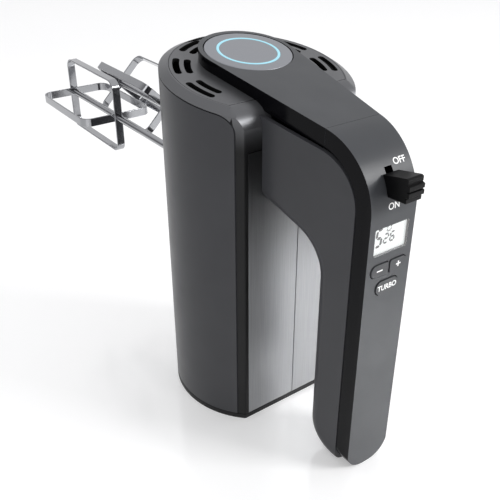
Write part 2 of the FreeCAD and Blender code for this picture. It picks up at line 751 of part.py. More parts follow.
def cover_block(label, which, shallow, deep, inset, past):
    """A stretch of the covers between two depths, drawn in from their sides, to past the seam."""
    front, back = handle_front - shallow, handle_front - deep
    if which == "top":
        rear, seam = disc_x - body_radius, cover_seam - seam_gap / 4 + past
        side = [(rear, handle_level(rear, shallow)), (seam, handle_level(seam, shallow)),
                (seam, handle_level(seam, deep)), (rear, handle_level(rear, deep))]
        return overlap(label, side_prism(label + "_side", body_radius, side),
                       cover_plan(label + "_plan", inset))
    seam, rear = cover_seam + seam_gap / 4 - past, cover_seam - handle_bend / 2
    side = [(rear, handle_level(rear, shallow)),
            (front, handle_level(front, shallow), handle_bend - shallow), (front, -1.0), (back, -1.0),
            (back, handle_level(back, deep), handle_bend - deep), (rear, handle_level(rear, deep))]
    return overlap(label, side_prism(label + "_side", body_radius, side),
                   cover_plan(label + "_plan", inset),
                   toe_front(label + "_toe", shell_end, inset, cover_toe),
                   block(label + "_keep", seam, handle_front + 1, -body_radius, body_radius,
                         -2.0, handle_height * 1.2))


def cover_shell(label, which):
    """A cover: a hollow cap with a lip that goes inside the side shells."""
    zero = as_size(0.0)
    cap = cut(label + "_cap", cover_block(label + "_outer", which, zero, cover_depth, zero, 0.0),
              cover_block(label + "_cavity", which, cover_wall, cover_depth + 1, cover_wall, 0.5))
    collar = cut(label + "_collar",
                 cover_block(label + "_collar_outer", which, cover_depth - 2, cover_depth,
                             cover_wall / 2, -0.5),
                 cover_block(label + "_collar_inner", which, cover_depth - 3, cover_depth + 1,
                             cover_wall + lip_wall, 0.5))
    lip = cut(label + "_lip",
              cover_block(label + "_lip_outer", which, cover_depth - 1, cover_depth + lip_reach,
                          cover_wall + lip_gap, -1.0),
              cover_block(label + "_lip_inner", which, cover_depth - 3, cover_depth + lip_reach + 1,
                          cover_wall + lip_wall, 0.5))
    return join(label + "_blank", cap, collar, lip)


def make_top_cover():
    """Glossy top cover with the round opening for the eject button."""
    clear = body_profile("top_cover_clear", seam_gap / 4, 0.0)
    hole = disc_rod("button_hole", disc_radius + disc_gap, -20.0, 10.0)
    return node(cut("handle_top_cover", cover_shell("top_cover", "top"), clear, hole))


def knob_block(label, left, right, near, far, low, high):
    """A box square to the bend's surface at the slide knob."""
    thing = doc.addObject("Part::Box", "Box")
    thing.Label = label
    bind(thing, "Length", as_size(right) - left)
    bind(thing, "Width", as_size(far) - near)
    bind(thing, "Height", as_size(high) - low)
    out = handle_bend + left
    x = bend_x + out * cos_of(knob_angle) - low * sin_of(knob_angle)
    z = bend_z + out * sin_of(knob_angle) + low * cos_of(knob_angle)
    return tilt(thing, x, near, z, knob_angle, Vector(0, -1, 0))


def face_block(label, middle, wide, tall, back, front, radius, offset=0.0, gap=0.0, inner=None):
    """A rounded block through the front face; inner is the radius of its corners near the middle."""
    body = new_body(label)
    half, rise, gap = as_size(wide) / 2 + gap, as_size(tall) / 2 + gap, as_size(gap)
    wide_end, inner_end = radius + gap, (radius if inner is None else inner) + gap
    left, right = (wide_end, inner_end) if as_size(offset).value < 0 else (inner_end, wide_end)
    pad(body, "YZ", back, as_size(front) - back, lambda sketch: outline(sketch, [
        (offset - half, middle - rise, left), (offset + half, middle - rise, right),
        (offset + half, middle + rise, right), (offset - half, middle + rise, left)]))
    return body


def make_front_cover():
    """Glossy front cover with openings for the knob, the display and the keys."""
    back, front = handle_front - cover_wall - 2, handle_front + 5
    slot = knob_block("knob_slot", -8.0, 4.0, -(knob_stem + slot_play), knob_stem + slot_play,
                      -(knob_stem + slot_play), knob_stem + switch_travel + slot_play)
    window = face_block("window_opening", lcd_height, lcd_wide, lcd_tall, back, front, window_corner,
                        gap=fit_gap)
    keys = [face_block("key_opening", height, wide, tall, back, front, tall * key_round, offset,
                       key_gap, inner) for name, height, offset, wide, tall, inner in key_plan]
    return node(cut("handle_front_cover", cover_shell("front_cover", "front"), slot, window, *keys))


def arch_level(x, above=0.0):
    """Height of the handle's underside at x, plus a distance square to it."""
    return arch_height + as_size(above) / cos_of(arch_fall) + tan_of(arch_fall) * (grip_x - x)


def shell_half(x):
    """Half width of the side shells, which narrow evenly from the flat face to the front."""
    return shell_end + (shell_root - shell_end) / (handle_front - cover_depth - flat_x) * (
        handle_front - cover_depth - x)


def shell_solid(label, inset, depth, soft=None):
    """Both side shells' outer form, drawn in by a wall; depth is from the covers' outer face."""
    root, front, inner = flat_x - body_radius / 2, handle_front - depth, grip_x + inset
    side = [(root, handle_level(root, depth)), (front, handle_level(front, depth), handle_bend - depth),
            (front, inset), (inner, inset, grip_toe - inset), (inner, arch_level(inner, inset),
            arch_radius + inset), (root, arch_level(root, inset))]
    wide, end = shell_half(root) - inset, shell_half(front + 5) - inset
    plan = [(root, -wide), (front + 5, -end), (front + 5, end), (root, wide)]
    body = overlap(label + "_body", side_prism(label + "_side", body_radius, side),
                   plan_prism(label + "_plan", -1.0, handle_height * 1.2, plan))
    if soft:
        doc.recompute()
        rounded = doc.addObject("Part::Fillet", "Fillet")
        rounded.Base = body
        rounded.Edges = [(number, soft.value, soft.value) for number in finger_edges(body.Shape)]
        body = rounded
    return overlap(label, body, toe_front(label + "_toe", shell_half(grip_x), inset, shell_toe))


def finger_edges(shape):
    """The shells' long edges on the finger side, from the flat face down to the toe."""
    found = []
    for number, edge in enumerate(shape.Edges, 1):
        spot = edge.CenterOfMass
        grip = spot.x < grip_x.value + 8 and spot.z < arch_height.value
        arch = spot.x < grip_x.value + 5 and spot.z < arch_level(as_size(spot.x)).value + 8
        if (grip or arch) and abs(spot.y) > shell_end.value and edge.Length > 2 and spot.z > 0.5:
            found.append(number)
    return found


def make_side_shells():
    """Left and right halves of the grip and the arch, hollow, with soft finger-side edges."""
    soft = shell_solid("shell_outer", as_size(0.0), cover_depth + shell_gap, grip_soft)
    hollow = shell_solid("shell_cavity", cover_wall, cover_depth - 2, grip_soft - cover_wall)
    clear = body_profile("shell_clear", seam_gap / 4, -1.0)
    whole = cut("shell_whole", soft, hollow, clear)
    tall = handle_height * 1.2
    for label, near, far in (("handle_left_shell", seam_gap / 4, body_radius),
                             ("handle_right_shell", -body_radius, -seam_gap / 4)):
        node(overlap(label, whole, block(label + "_half", 0.0, handle_front, near, far, -1.0, tall)))


def make_display():
    """Display window and the display module behind it."""
    node(face_block("display_window", lcd_height, lcd_wide, lcd_tall, handle_front - window_thickness,
                    handle_front + 0.1, window_corner))
    node(face_block("display_module", lcd_height, lcd_wide - 0.6, lcd_tall + 1,
                    board_x, handle_front - cover_wall - 0.1, window_corner))


def make_keys():
    """Minus, plus and turbo keys, each with a flange behind the cover and a stem to its switch."""
    inner = handle_front - cover_wall
    switches = []
    for name, height, offset, wide, tall, corner in key_plan:
        cap = face_block(name + "_cap", height, wide, tall, inner - key_flange - 0.1,
                         handle_front + key_proud, tall * key_round, offset, 0.0, corner)
        flange = face_block(name + "_flange", height, wide + 1.0, tall + key_flange,
                            inner - key_flange - 0.1, inner - 0.1, tall * 0.3, offset)
        node(join(name, cap, flange))
        top = inner - key_flange - 0.1 - key_travel - 0.2
        switches.append(face_block(name + "_switch", height, 5.0, 5.0, board_x, top, 0.6, offset))
    node(group("key_switches", *switches))
    node(face_block("control_board", (lcd_height + turbo_height) / 2, cover_end * 1.45, 52.0,
                    board_x - board_thickness, board_x, 2.0))


def make_knob():
    """Slide knob with four grip ribs, its stem through the cover, and the switch behind it."""
    middle = bend_z + handle_bend * sin_of(knob_angle)
    low, high = middle - knob_height / 2, middle + knob_height / 2
    rear, tip = bend_x, bend_x + handle_bend * cos_of(knob_angle) + knob_reach
    rib = knob_height / 4
    slant = (tip - rear) / knob_reach
    body = new_body("knob_blank")

    def side(sketch):
        corners = [(rear, low - knob_under * slant), (tip - 2.4, low + 0.4)]
        for count in range(4):
            bulge = 1.2 if count in (1, 2) else 0.0
            corners += [(tip - 1.2 + bulge, low + rib * count + 0.5),
                        (tip - 1.2 + bulge, low + rib * (count + 1) - 0.5)]
            if count < 3:
                corners += [(tip - 2.2 + bulge * 0.6, low + rib * (count + 1))]
        corners += [(tip - 2.4, high), (rear, high - knob_fall * slant)]
        outline(sketch, corners)
    pad(body, "XZ", 0.0, knob_half * 2, side, both=True)
    inside = rod("knob_clear", handle_bend + slot_play * 2, body_radius * 2, bend_x, -body_radius,
                 bend_z, "+Y")
    stem = knob_block("knob_stem", -7.0, 2.0, -knob_stem, knob_stem, -knob_stem, knob_stem)
    node(join("switch_knob", cut("knob_head", body, inside), stem))
    node(knob_block("slide_switch", -15.0, -7.5, -5.0, 5.0, -8.0, 10.0))


# ---------------------------------------------------------------- eject button
def make_eject_button():
    """Round button plate with a skirt, a groove for the light ring and a wedge-ended stem."""
    low = -disc_thickness
    plate_body = disc_turned("button_plate", [
        (0.0, low), (disc_radius - 2.4, low), (disc_radius - 2.4, low - 3), (disc_radius - 0.8, low - 3),
        (disc_radius, low), (disc_radius, -0.4), (disc_radius - 0.4, 0.0),
        (ring_radius + ring_width / 2, 0.0), (ring_radius + ring_width / 2, -ring_depth),
        (ring_radius - ring_width / 2, -ring_depth), (ring_radius - ring_width / 2, 0.0), (0.0, 0.0)])
    half = stem_width / 2
    stem = disc_block("button_stem", stem_x - half, stem_x + half, -half, half,
                      low - stem_length - half * 2, low + 0.5)
    wedge = wedge_space("stem_wedge", 0.03)
    node(join("eject_button", plate_body, cut("stem_cut", stem, wedge)))
    node(disc_turned("light_ring", [
        (ring_radius - ring_width / 2 + 0.02, -ring_depth), (ring_radius + ring_width / 2 - 0.02, -ring_depth),
        (ring_radius + ring_width / 2 - 0.02, 0.1), (ring_radius - ring_width / 2 + 0.02, 0.1)]))


def wedge_space(label, gap):
    """Everything under the sloping wedge face between the stem and the ejector."""
    thing = doc.addObject("Part::Box", "Box")
    thing.Label = label
    span = body_radius
    bind(thing, "Length", span * 2)
    bind(thing, "Width", span * 2)
    bind(thing, "Height", span)
    x = wedge_x - span * cos_of(wedge_angle) - (span - gap) * sin_of(wedge_angle)
    z = wedge_z + span * sin_of(wedge_angle) - (span - gap) * cos_of(wedge_angle)
    return tilt(thing, x, -span, z, wedge_angle)


def make_button_seat():
    """Cup under the deck that carries the light board and the button's spring."""
    floor = -(carrier_depth + deck_thickness)
    under = -(handle_height - deck_height) * lean - deck_thickness - 0.1
    cup = disc_turned("seat_cup", [
        (0.0, floor), (disc_radius + 1.6, floor), (disc_radius + 1.6, under - 2),
        (disc_radius + 3.4, under - 2), (disc_radius + 3.4, under), (disc_radius + 0.2, under),
        (disc_radius + 0.2, floor + 2), (0.0, floor + 2)])
    play = stem_width / 2 + 0.5
    hole = disc_block("stem_hole", stem_x - play, stem_x + play, -play, play, -30.0, -3.0)
    node(cut("button_seat", cup, hole))
    board = disc_turned("light_board_ring", [
        (8.0, floor + 2), (20.0, floor + 2), (20.0, floor + 2 + board_thickness),
        (8.0, floor + 2 + board_thickness)])
    node(cut("light_board", board, disc_block("board_notch", stem_x - play - 1, stem_x + play + 1,
                                              -play - 1, play + 1, -30.0, -3.0)))
    length = carrier_depth - disc_thickness - 0.2
    spring = coil("eject_spring", 5.0, 0.45, length, 5)
    x, z = disc_point(as_size(0.0), floor + 2.1)
    node(tilt(spring, x, 0.0, z))


def coil(label, radius, wire, length, turns):
    """A coil spring standing on its lower end, lofted through eight-sided wire sections."""
    radius, wire, length = as_size(radius).value, as_size(wire).value, as_size(length).value
    rise, around = length - 2 * wire, 16
    climb = rise / turns / (2 * math.pi)
    sections = []
    for step in range(turns * around + 1):
        turn = 2 * math.pi * step / around
        out = Vector(math.cos(turn), math.sin(turn), 0)
        along = Vector(-radius * math.sin(turn), radius * math.cos(turn), climb).normalize()
        middle = out * radius + Vector(0, 0, wire + climb * turn)
        up = along.cross(out)
        points = [middle + out * (wire * math.cos(math.pi * corner / 4))
                  + up * (wire * math.sin(math.pi * corner / 4)) for corner in range(8)]
        sections.append(Part.makePolygon(points + points[:1]))
    thing = doc.addObject("Part::Feature", "Spring")
    thing.Label = label
    thing.Shape = Part.makeLoft(sections, True, True)
    return thing


def make_ejector():
    """Ejector: a wedge on a slide over the gearbox, a leg behind it and a pin into each spindle."""
    low = frame_top + slide_gap
    top = low + plate
    rear = frame_rear + eject_travel + 2
    deck = block("ejector_deck", wedge_x - 9, rear + plate, -8.0, 8.0, low, top)
    leg = block("ejector_leg", rear, rear + plate, -(beater_side + 5), beater_side + 5,
                drive_height - 5, top)
    rise = overlap("ejector_rise", block("rise_block", wedge_x - 8, wedge_x + 6, -5.0, 5.0, top - 1,
                                         wedge_z + 4), wedge_space("rise_wedge", 0.0))
    pins = [rod("ejector_pin", beater_shaft - 0.2, rear - beater_inner + 0.8, rear + 1, side,
                drive_height, "-X") for side in (beater_side, -beater_side)]
    node(join("ejector", deck, leg, rise, *pins))


# ---------------------------------------------------------------- gearbox
def ring_of_teeth(count, root, tip, half_root, half_tip, turn, x_or_z, upright):
    """One closed outline with trapezoid teeth, turned by an angle, at a place on its axis."""
    points = []
    for tooth in range(count):
        middle = 2 * math.pi * tooth / count + turn
        for radius, side in ((root, -half_root), (tip, -half_tip), (tip, half_tip), (root, half_root)):
            angle = middle + side
            first, second = radius * math.cos(angle), radius * math.sin(angle)
            points.append(Vector(first, second, x_or_z) if upright else Vector(x_or_z, first, second))
    return Part.makePolygon(points + points[:1])


def make_worm():
    """Worm with three right-hand threads, on the motor shaft."""
    lead = math.pi * module.value * worm_starts.value
    half_pitch = math.pi / worm_starts.value / 2
    slack = tooth_slack.value / 2 / lead * math.pi
    slant = math.tan(math.radians(20)) * module.value / lead * 2 * math.pi
    tip = worm_pitch.value + module.value
    root = worm_pitch.value - 1.2 * module.value
    length, low = worm_length.value, drive_height.value - worm_length.value / 2
    count = int(worm_starts.value)
    sections = []
    steps = int(length / lead * 24)
    for step in range(steps + 1):
        height = low + length * step / steps
        turn = 2 * math.pi * (height - drive_height.value) / lead + math.pi / 2
        sections.append(ring_of_teeth(count, root, tip, half_pitch + 1.2 * slant - slack,
                                      half_pitch - slant - slack, turn, height, True))
    solid = Part.makeLoft(sections, True, True)
    bore = Part.makeCylinder(shaft_radius.value + press_gap.value, length + 2, Vector(0, 0, low - 1))
    thing = doc.addObject("Part::Feature", "Worm")
    thing.Label = "worm"
    thing.Shape = solid.cut(bore)
    return node(thing)


def make_worm_wheel(label, side, phase):
    """Worm wheel with slanted teeth, moulded on its drive spindle."""
    count = int(wheel_teeth.value)
    radius = wheel_pitch.value
    half_pitch = math.pi / count / 2
    slack = tooth_slack.value / 2 / radius / 2
    slant = math.tan(math.radians(20)) * module.value / radius
    tip, root = radius + module.value * 0.95, radius - 1.25 * module.value
    lean_rate = math.pi * module.value * worm_starts.value / (2 * math.pi) / worm_pitch.value / radius
    sections = []
    for step in range(5):
        x = wheel_width.value * (step / 4 - 0.5)
        sections.append(ring_of_teeth(count, root, tip, half_pitch + 1.25 * slant - slack,
                                      half_pitch - slant - slack, phase + lean_rate * x, x, False))
    solid = Part.makeLoft(sections, True, True)
    bore = Part.makeCylinder(spindle_radius.value + press_gap.value, wheel_width.value + 2,
                             Vector(-wheel_width.value / 2 - 1, 0, 0), Vector(1, 0, 0))
    thing = doc.addObject("Part::Feature", "Wheel")
    thing.Label = label
    thing.Shape = solid.cut(bore)
    thing.Placement = Placement(Vector(0, side.value, drive_height.value), Rotation())
    bind(thing, "Placement.Base.y", side)
    bind(thing, "Placement.Base.z", drive_height)
    return node(thing)


def make_gear_train():
    """Worm, two worm wheels, their spindles, and the bushes and collars round them."""
    make_worm()
    tooth = math.pi / wheel_teeth.value
    fronts, rears, collars = [], [], []
    for name, side, phase in (("left", beater_side, math.pi + tooth), ("right", -beater_side, 0.0)):
        make_worm_wheel("worm_wheel_" + name, side, phase)
        node(tube("spindle_" + name, spindle_radius, beater_shaft + fit_gap,
                  spindle_front + frame_rear + 1, frame_rear + 1, side, drive_height, "-X"))
        fronts.append(tube("front_bush_" + name, bush_radius, spindle_radius + fit_gap, plate + 3,
                           -(frame_front - plate), side, drive_height, "-X"))
        rears.append(tube("rear_bush_" + name, bush_radius, spindle_radius + fit_gap, plate + 1,
                          frame_rear, side, drive_height, "-X"))
        collars.append(tube("socket_collar_" + name, nose_radius, spindle_radius + 0.4, nose_length,
                            -(nose_front - nose_length), side, drive_height, "-X"))
    node(group("front_bushes", *fronts))
    node(group("rear_bushes", *rears))
    node(group("socket_collars", *collars))


def make_gearbox_frame():
    """Open cast frame round the worm and its wheels."""
    outer = block("frame_box", -frame_front, frame_rear, -frame_side, frame_side, frame_bottom,
                  frame_top)
    inner = block("frame_inside", -frame_front + plate, frame_rear - plate, -frame_side - 1,
                  frame_side + 1, frame_bottom + plate, frame_top - plate)
    holes = [rod("bush_hole", bush_radius, frame_front * 3, frame_rear + 5, side, drive_height, "-X")
             for side in (beater_side, -beater_side)]
    shaft_hole = rod("bearing_hole", bearing_radius, frame_top, 0.0, 0.0, stack_bottom)
    node(cut("gearbox_frame", outer, inner, shaft_hole, *holes))
    node(tube("upper_bush", bearing_radius, shaft_radius + fit_gap, plate + 2, 0.0, 0.0,
              frame_top - plate - 2))
    node(tube("shaft_bearing", bearing_radius, shaft_radius + fit_gap, plate + 2, 0.0, 0.0,
              frame_bottom - 1))


# ---------------------------------------------------------------- motor
def make_stator():
    """Laminated stator with a round bore and windows for its two field coils."""
    body = new_body("stator_blank")
    pad(body, "XY", stack_bottom, stack_height,
        lambda sketch: rectangle(sketch, -stator_x, -stator_y, stator_x, stator_y, 6.0))
    pocket(body, "XY", stack_bottom, stack_height,
           lambda sketch: circle(sketch, 0, 0, rotor_radius + air_gap))

    def windows(sketch):
        for left, right in ((coil_inner, coil_outer), (-coil_outer, -coil_inner)):
            for low, high in ((coil_low, coil_high), (-coil_high, -coil_low)):
                rectangle(sketch, left, low, right, high)
    pocket(body, "XY", stack_bottom, stack_height, windows)
    body.Label = "stator"
    node(body)
    gap = 0.15
    for name, left, right in (("front", coil_inner + gap, coil_outer - gap),
                              ("rear", -(coil_outer - gap), -(coil_inner + gap))):
        thing = new_body("field_coil_" + name)
        low, high = stack_bottom - coil_end, stack_bottom + stack_height + coil_end
        depth = coil_high - coil_low - gap * 2

        def ring(sketch, low=low, high=high):
            rectangle(sketch, -(coil_high - gap), low, coil_high - gap, high, 3.0)

        def opening(sketch, low=low, high=high):
            rectangle(sketch, -(coil_low + gap), stack_bottom - 0.3, coil_low + gap,
                      stack_bottom + stack_height + 0.3)
        pad(thing, "YZ", left, right - left, ring)
        pocket(thing, "YZ", left, right - left, opening)
        node(thing)


def make_armature():
    """Motor shaft with slotted iron, windings, commutator and fan."""
    shaft_low, shaft_high = shaft_bottom, frame_top - 0.5
    node(place(turned("motor_shaft", [
        (0.0, 0.0), (shaft_radius - 0.5, 0.0), (shaft_radius, 0.5), (shaft_radius, shaft_high - shaft_low),
        (0.0, shaft_high - shaft_low)]), 0.0, 0.0, shaft_low))
    bore = shaft_radius + press_gap
    core = new_body("armature_core")
    pad(core, "XY", stack_bottom, stack_height, lambda sketch: circle(sketch, 0, 0, rotor_radius))
    pocket(core, "XY", stack_bottom, stack_height, lambda sketch: circle(sketch, 0, 0, bore))
    slot = pocket(core, "XY", stack_bottom, stack_height, lambda sketch: rectangle(
        sketch, rotor_slot, -1.5, rotor_radius + 2, 1.5))
    pattern = core.newObject("PartDesign::PolarPattern", "PolarPattern")
    pattern.Originals = [slot]
    pattern.Axis = (slot.Profile[0], ["N_Axis"])
    pattern.Angle = 360
    pattern.Occurrences = 12
    core.Tip = pattern
    node(core)
    ends = [tube("winding_end", rotor_radius - 1.5, bore + 3, coil_end - 1, 0.0, 0.0, height)
            for height in (stack_bottom - coil_end + 1, stack_bottom + stack_height)]
    bars = []
    for count in range(12):
        bar = block("winding_bar", rotor_slot + 0.1, rotor_radius - 1.6, -1.4, 1.4,
                    stack_bottom - 1, stack_bottom + stack_height + 1)
        bars.append(spun("winding_bar_turned", bar, count * 30))
    node(join("armature_windings", *ends, *bars))
    node(tube("commutator", commutator_radius, bore, commutator_length, 0.0, 0.0, commutator_bottom))
    make_fan(bore)


def spun(label, thing, degrees):
    """The same box turned about the motor's axis."""
    base = thing.Placement.Base
    turn = Rotation(Vector(0, 0, 1), degrees)
    thing.setExpression("Placement.Base.x", "%s * cos(%d deg) - %s * sin(%d deg)" % (
        as_size(rotor_slot + 0.1).text, degrees, "(-1.4)", degrees))
    thing.setExpression("Placement.Base.y", "%s * sin(%d deg) + %s * cos(%d deg)" % (
        as_size(rotor_slot + 0.1).text, degrees, "(-1.4)", degrees))
    thing.Placement = Placement(base, turn)
    return thing


def make_fan(bore):
    """Cooling fan: a hub, a back disc and eleven blades."""
    body = new_body("cooling_fan")
    pad(body, "XY", fan_bottom, 2.0, lambda sketch: circle(sketch, 0, 0, fan_radius))
    pad(body, "XY", fan_bottom, fan_height, lambda sketch: circle(sketch, 0, 0, 7.0))
    blade = pad(body, "XY", fan_bottom, fan_height, lambda sketch: rectangle(
        sketch, 6.0, -0.8, fan_radius - 1, 0.8))
    pattern = body.newObject("PartDesign::PolarPattern", "PolarPattern")
    pattern.Originals = [blade]
    pattern.Axis = (blade.Profile[0], ["N_Axis"])
    pattern.Angle = 360
    pattern.Occurrences = 11
    body.Tip = pattern
    pocket(body, "XY", fan_bottom, fan_height, lambda sketch: circle(sketch, 0, 0, bore))
    node(body)


def make_motor_mounts():
    """Lower bearing bracket, its bush, the two carbon brushes and their brass holders."""
    arm = block("bracket_arm", -stator_x, stator_x, -9.0, 9.0, bracket_bottom, bracket_bottom + plate)
    legs = [block("bracket_leg", left, left + plate, -9.0, 9.0, bracket_bottom, stack_bottom)
            for left in (-stator_x, stator_x - plate)]
    wings = [block("bracket_wing", -5.0, 5.0, near, far, bracket_bottom, bracket_bottom + plate)
             for near, far in ((0.0, wing_out), (-wing_out, 0.0))]
    posts = [block("holder_post", -3.6, 3.6, near, far, bracket_bottom + 1,
                   commutator_bottom + commutator_length / 2 - 3.6)
             for near, far in ((wing_out - plate * 2, wing_out), (-wing_out, plate * 2 - wing_out))]
    hub = rod("bracket_hub", bearing_radius + 2, plate + 4, 0.0, 0.0, bracket_bottom - 4)
    hole = rod("bracket_bore", bearing_radius, plate + 20, 0.0, 0.0, bracket_bottom - 10)
    node(cut("motor_bracket", join("bracket_blank", arm, hub, *legs, *wings, *posts), hole))
    node(tube("lower_bush", bearing_radius, shaft_radius + fit_gap, plate + 4, 0.0, 0.0,
              bracket_bottom - 4))
    middle = commutator_bottom + commutator_length / 2
    brushes, holders = [], []
    for side in (1, -1):
        inner = (commutator_radius + 0.15) * side
        outer = (commutator_radius + 14) * side
        near, far = (inner, outer) if side > 0 else (outer, inner)
        brushes.append(block("brush", -2.5, 2.5, near, far, middle - 2.5, middle + 2.5))
        inner, outer = (commutator_radius + 2) * side, (commutator_radius + 17) * side
        near, far = (inner, outer) if side > 0 else (outer, inner)
        sleeve = block("holder", -3.6, 3.6, near, far, middle - 3.6, middle + 3.6)
        room = block("holder_room", -2.6, 2.6, near - 1, far + 1, middle - 2.6, middle + 2.6)
        holders.append(cut("holder_sleeve", sleeve, room))
    node(group("carbon_brushes", *brushes))
    node(group("brush_holders", *holders))


# ---------------------------------------------------------------- beaters
def make_beater(name, side, turn):
    """Beater: a shaft and two crossed loops of flat strip, one nested in the other."""
    tip, rear = -cage_tip, -(cage_tip - cage_length)
    shaft = turned("beater_shaft_" + name, [
        (0.0, 0.0), (beater_shaft - 0.6, 0.0), (beater_shaft, 0.8), (beater_shaft, collar_place),
        (collar_radius, collar_place), (collar_radius, collar_place + 2), (beater_shaft, collar_place + 2),
        (beater_shaft, cage_tip + beater_inner - 0.3), (0.0, cage_tip + beater_inner - 0.3)])
    place(shaft, beater_inner, side, drive_height, "-X")
    node(shaft)
    hole = rod("strip_hole", beater_shaft + press_gap, cage_length + 4, rear + 2, 0.0, 0.0, "-X")
    for letter, inset, extra in (("a", as_size(0.0), 0), ("b", strip_thickness + press_gap, 90)):
        body = new_body("loop_%s_blank" % letter)
        left, right, half = tip + inset, rear - inset, cage_half
        wall, bend = strip_thickness, cage_corner
        pad(body, "XZ", 0.0, strip_width, lambda sketch: rectangle(
            sketch, left, -half, right, half, bend), both=True)
        pocket(body, "XZ", 0.0, strip_width, lambda sketch: rectangle(
            sketch, left + wall, -(half - wall), right - wall, half - wall, bend - wall), both=True)
        loop = cut("beater_loop_%s_%s" % (letter, name), body, hole)
        loop.Placement = Placement(Vector(0, side.value, drive_height.value),
                                   Rotation(Vector(1, 0, 0), turn + extra))
        bind(loop, "Placement.Base.y", side)
        bind(loop, "Placement.Base.z", drive_height)
        node(loop)


def make_cord_inlet():
    """Bush in the back of the body where the cord goes in."""
    outer = inlet_radius + inlet_wall
    front = body_radius + 2.5
    body = turned("cord_inlet", [
        (inlet_radius, 0.0), (outer + 2, 0.0), (outer + 2, 2.0), (outer, 2.0), (outer, inlet_length),
        (inlet_radius, inlet_length)])
    node(place(body, -front, 0.0, inlet_height, "+X"))


# values that follow from the driving sizes
deck_edge = body_radius - rim_width - seam_gap / 2
deck_lip = cell("deck_lip", 1.5, "ledge that the deck plate rests on")
outlet_row = cell("outlet_row", 28.0, "air outlets in the heel plate")
screw_radius = cell("screw_radius", 1.5, "screws")
screw_head = cell("screw_head", 2.8, "screw heads")
screw_cap = cell("screw_cap", 1.6, "height of a screw head")
screw_seat = cell("screw_seat", 1.8, "depth of a screw's seat")
screw_length = cell("screw_length", 10.0, "screws")
heel_screw_x = cell("heel_screw_x", 29.5, "heel screws fore and aft")
heel_screw_y = cell("heel_screw_y", 27.0, "heel screws across")
heel_screw_spots = [(x, y) for x in (heel_screw_x, -heel_screw_x)
                    for y in (heel_screw_y, -heel_screw_y)]
lip_gap = cell("lip_gap", 0.15, "gap between a cover's lip and the side shells")
lip_wall = cell("lip_wall", 1.3, "cover's lip")
lip_reach = cell("lip_reach", 3.0, "cover's lip inside the side shells")
knob_stem = cell("knob_stem", 2.0, "half the width of the knob's stem")
slot_play = cell("slot_play", 0.3, "play of the knob's stem in its slot")
window_corner = cell("window_corner", 0.8, "display window's corners")
window_thickness = cell("window_thickness", 1.2, "display window")
key_flange = cell("key_flange", 1.2, "flange behind each key")
key_round = cell("key_round", 0.45, "round ends of the keys, as a share of their height")
key_corner = cell("key_corner", 0.8, "inner corners of the minus and plus keys")
bend_x = handle_front - handle_bend
bend_z = handle_level(handle_front) - handle_bend * tan_of((90 - slope) / 2)
step_side = step_wide / 2 + key_gap + 0.3
key_plan = [("minus_key", step_height, -step_side, step_wide, step_tall, key_corner),
            ("plus_key", step_height, step_side, step_wide, step_tall, key_corner),
            ("turbo_key", turbo_height, as_size(0.0), turbo_wide, turbo_tall, turbo_tall * key_round)]
press_gap = cell("press_gap", 0.02, "gap of pieces pressed on a shaft")
worm_pitch = cell("worm_pitch", 4.7, "worm's pitch radius")
wheel_pitch = module * wheel_teeth / 2
wedge_angle = 45 + slope / 2
wedge_x, wedge_z = disc_point(stem_x, -(disc_thickness + stem_length))
frame_front = cell("frame_front", 20.0, "gearbox frame behind the motor axis")
frame_rear = cell("frame_rear", 16.0, "gearbox frame ahead of the motor axis")
column_x = cell("column_x", 8.0, "front columns under the gearbox frame")
column_wide = cell("column_wide", 6.0, "columns under the gearbox frame")
frame_side = cell("frame_side", 37.0, "gearbox frame's half width")
bush_radius = cell("bush_radius", 6.6, "spindle bushes")
bearing_radius = cell("bearing_radius", 8.0, "motor bearings")
spindle_front = cell("spindle_front", 50.0, "open end of the spindles")
nose_length = cell("nose_length", 8.0, "beater socket collars")
nose_front = root_of(body_radius * body_radius - beater_side * beater_side) + nose_proud
slide_gap = cell("slide_gap", 0.3, "gap under the ejector")
beater_inner = cell("beater_inner", 2.0, "inner end of a beater's shaft")
collar_place = cell("collar_place", 60.0, "collar on a beater's shaft from its inner end")
collar_radius = cell("collar_radius", 4.6, "collar on a beater's shaft")
coil_inner = cell("coil_inner", 16.5, "field coils from the motor axis")
coil_outer = cell("coil_outer", 25.0, "field coils from the motor axis")
coil_low = cell("coil_low", 11.5, "stator pole's half width")
coil_high = cell("coil_high", 20.0, "field coil's half width")
rotor_slot = cell("rotor_slot", 9.0, "bottom of the armature's slots")
shaft_bottom = cell("shaft_bottom", 19.0, "lower end of the motor shaft")
bracket_bottom = cell("bracket_bottom", 25.0, "lower motor bracket")
wing_out = cell("wing_out", 25.5, "bracket's wings under the brush holders")
commutator_bottom = cell("commutator_bottom", 34.0, "commutator")
commutator_length = cell("commutator_length", 13.0, "commutator")
fan_bottom = cell("fan_bottom", 99.0, "cooling fan")
fan_height = cell("fan_height", 9.0, "cooling fan")
doc.recompute()

make_body_shell()
make_body_frame()
make_vent_deck()
make_steel_panels()
make_panel_backing()
make_heel()
make_top_cover()
make_front_cover()
make_side_shells()
make_display()
make_keys()
make_knob()
make_eject_button()
make_button_seat()
make_ejector()
make_gear_train()
make_gearbox_frame()
make_stator()
make_armature()
make_motor_mounts()
make_beater("left", beater_side, 45)
make_beater("right", -beater_side, 0)
make_cord_inlet()
doc.recompute()

# ---------------------------------------------------------------- checks and files
for item in doc.Objects:
    if "Invalid" in item.State or "Error" in item.State:
        raise RuntimeError("%s (%s) failed: %s" % (item.Name, item.Label, item.State))
os.makedirs("parts", exist_ok=True)
for thing in NODES:
    shape = thing.Shape
    if shape.isNull() or not shape.isValid() or not shape.Solids:
        raise RuntimeError("%s has no valid solid" % thing.Label)
    shape.exportStep("parts/%s.step" % thing.Label)
    print("%-22s %2d solids %9.1f mm3" % (thing.Label, len(shape.Solids), shape.Volume))
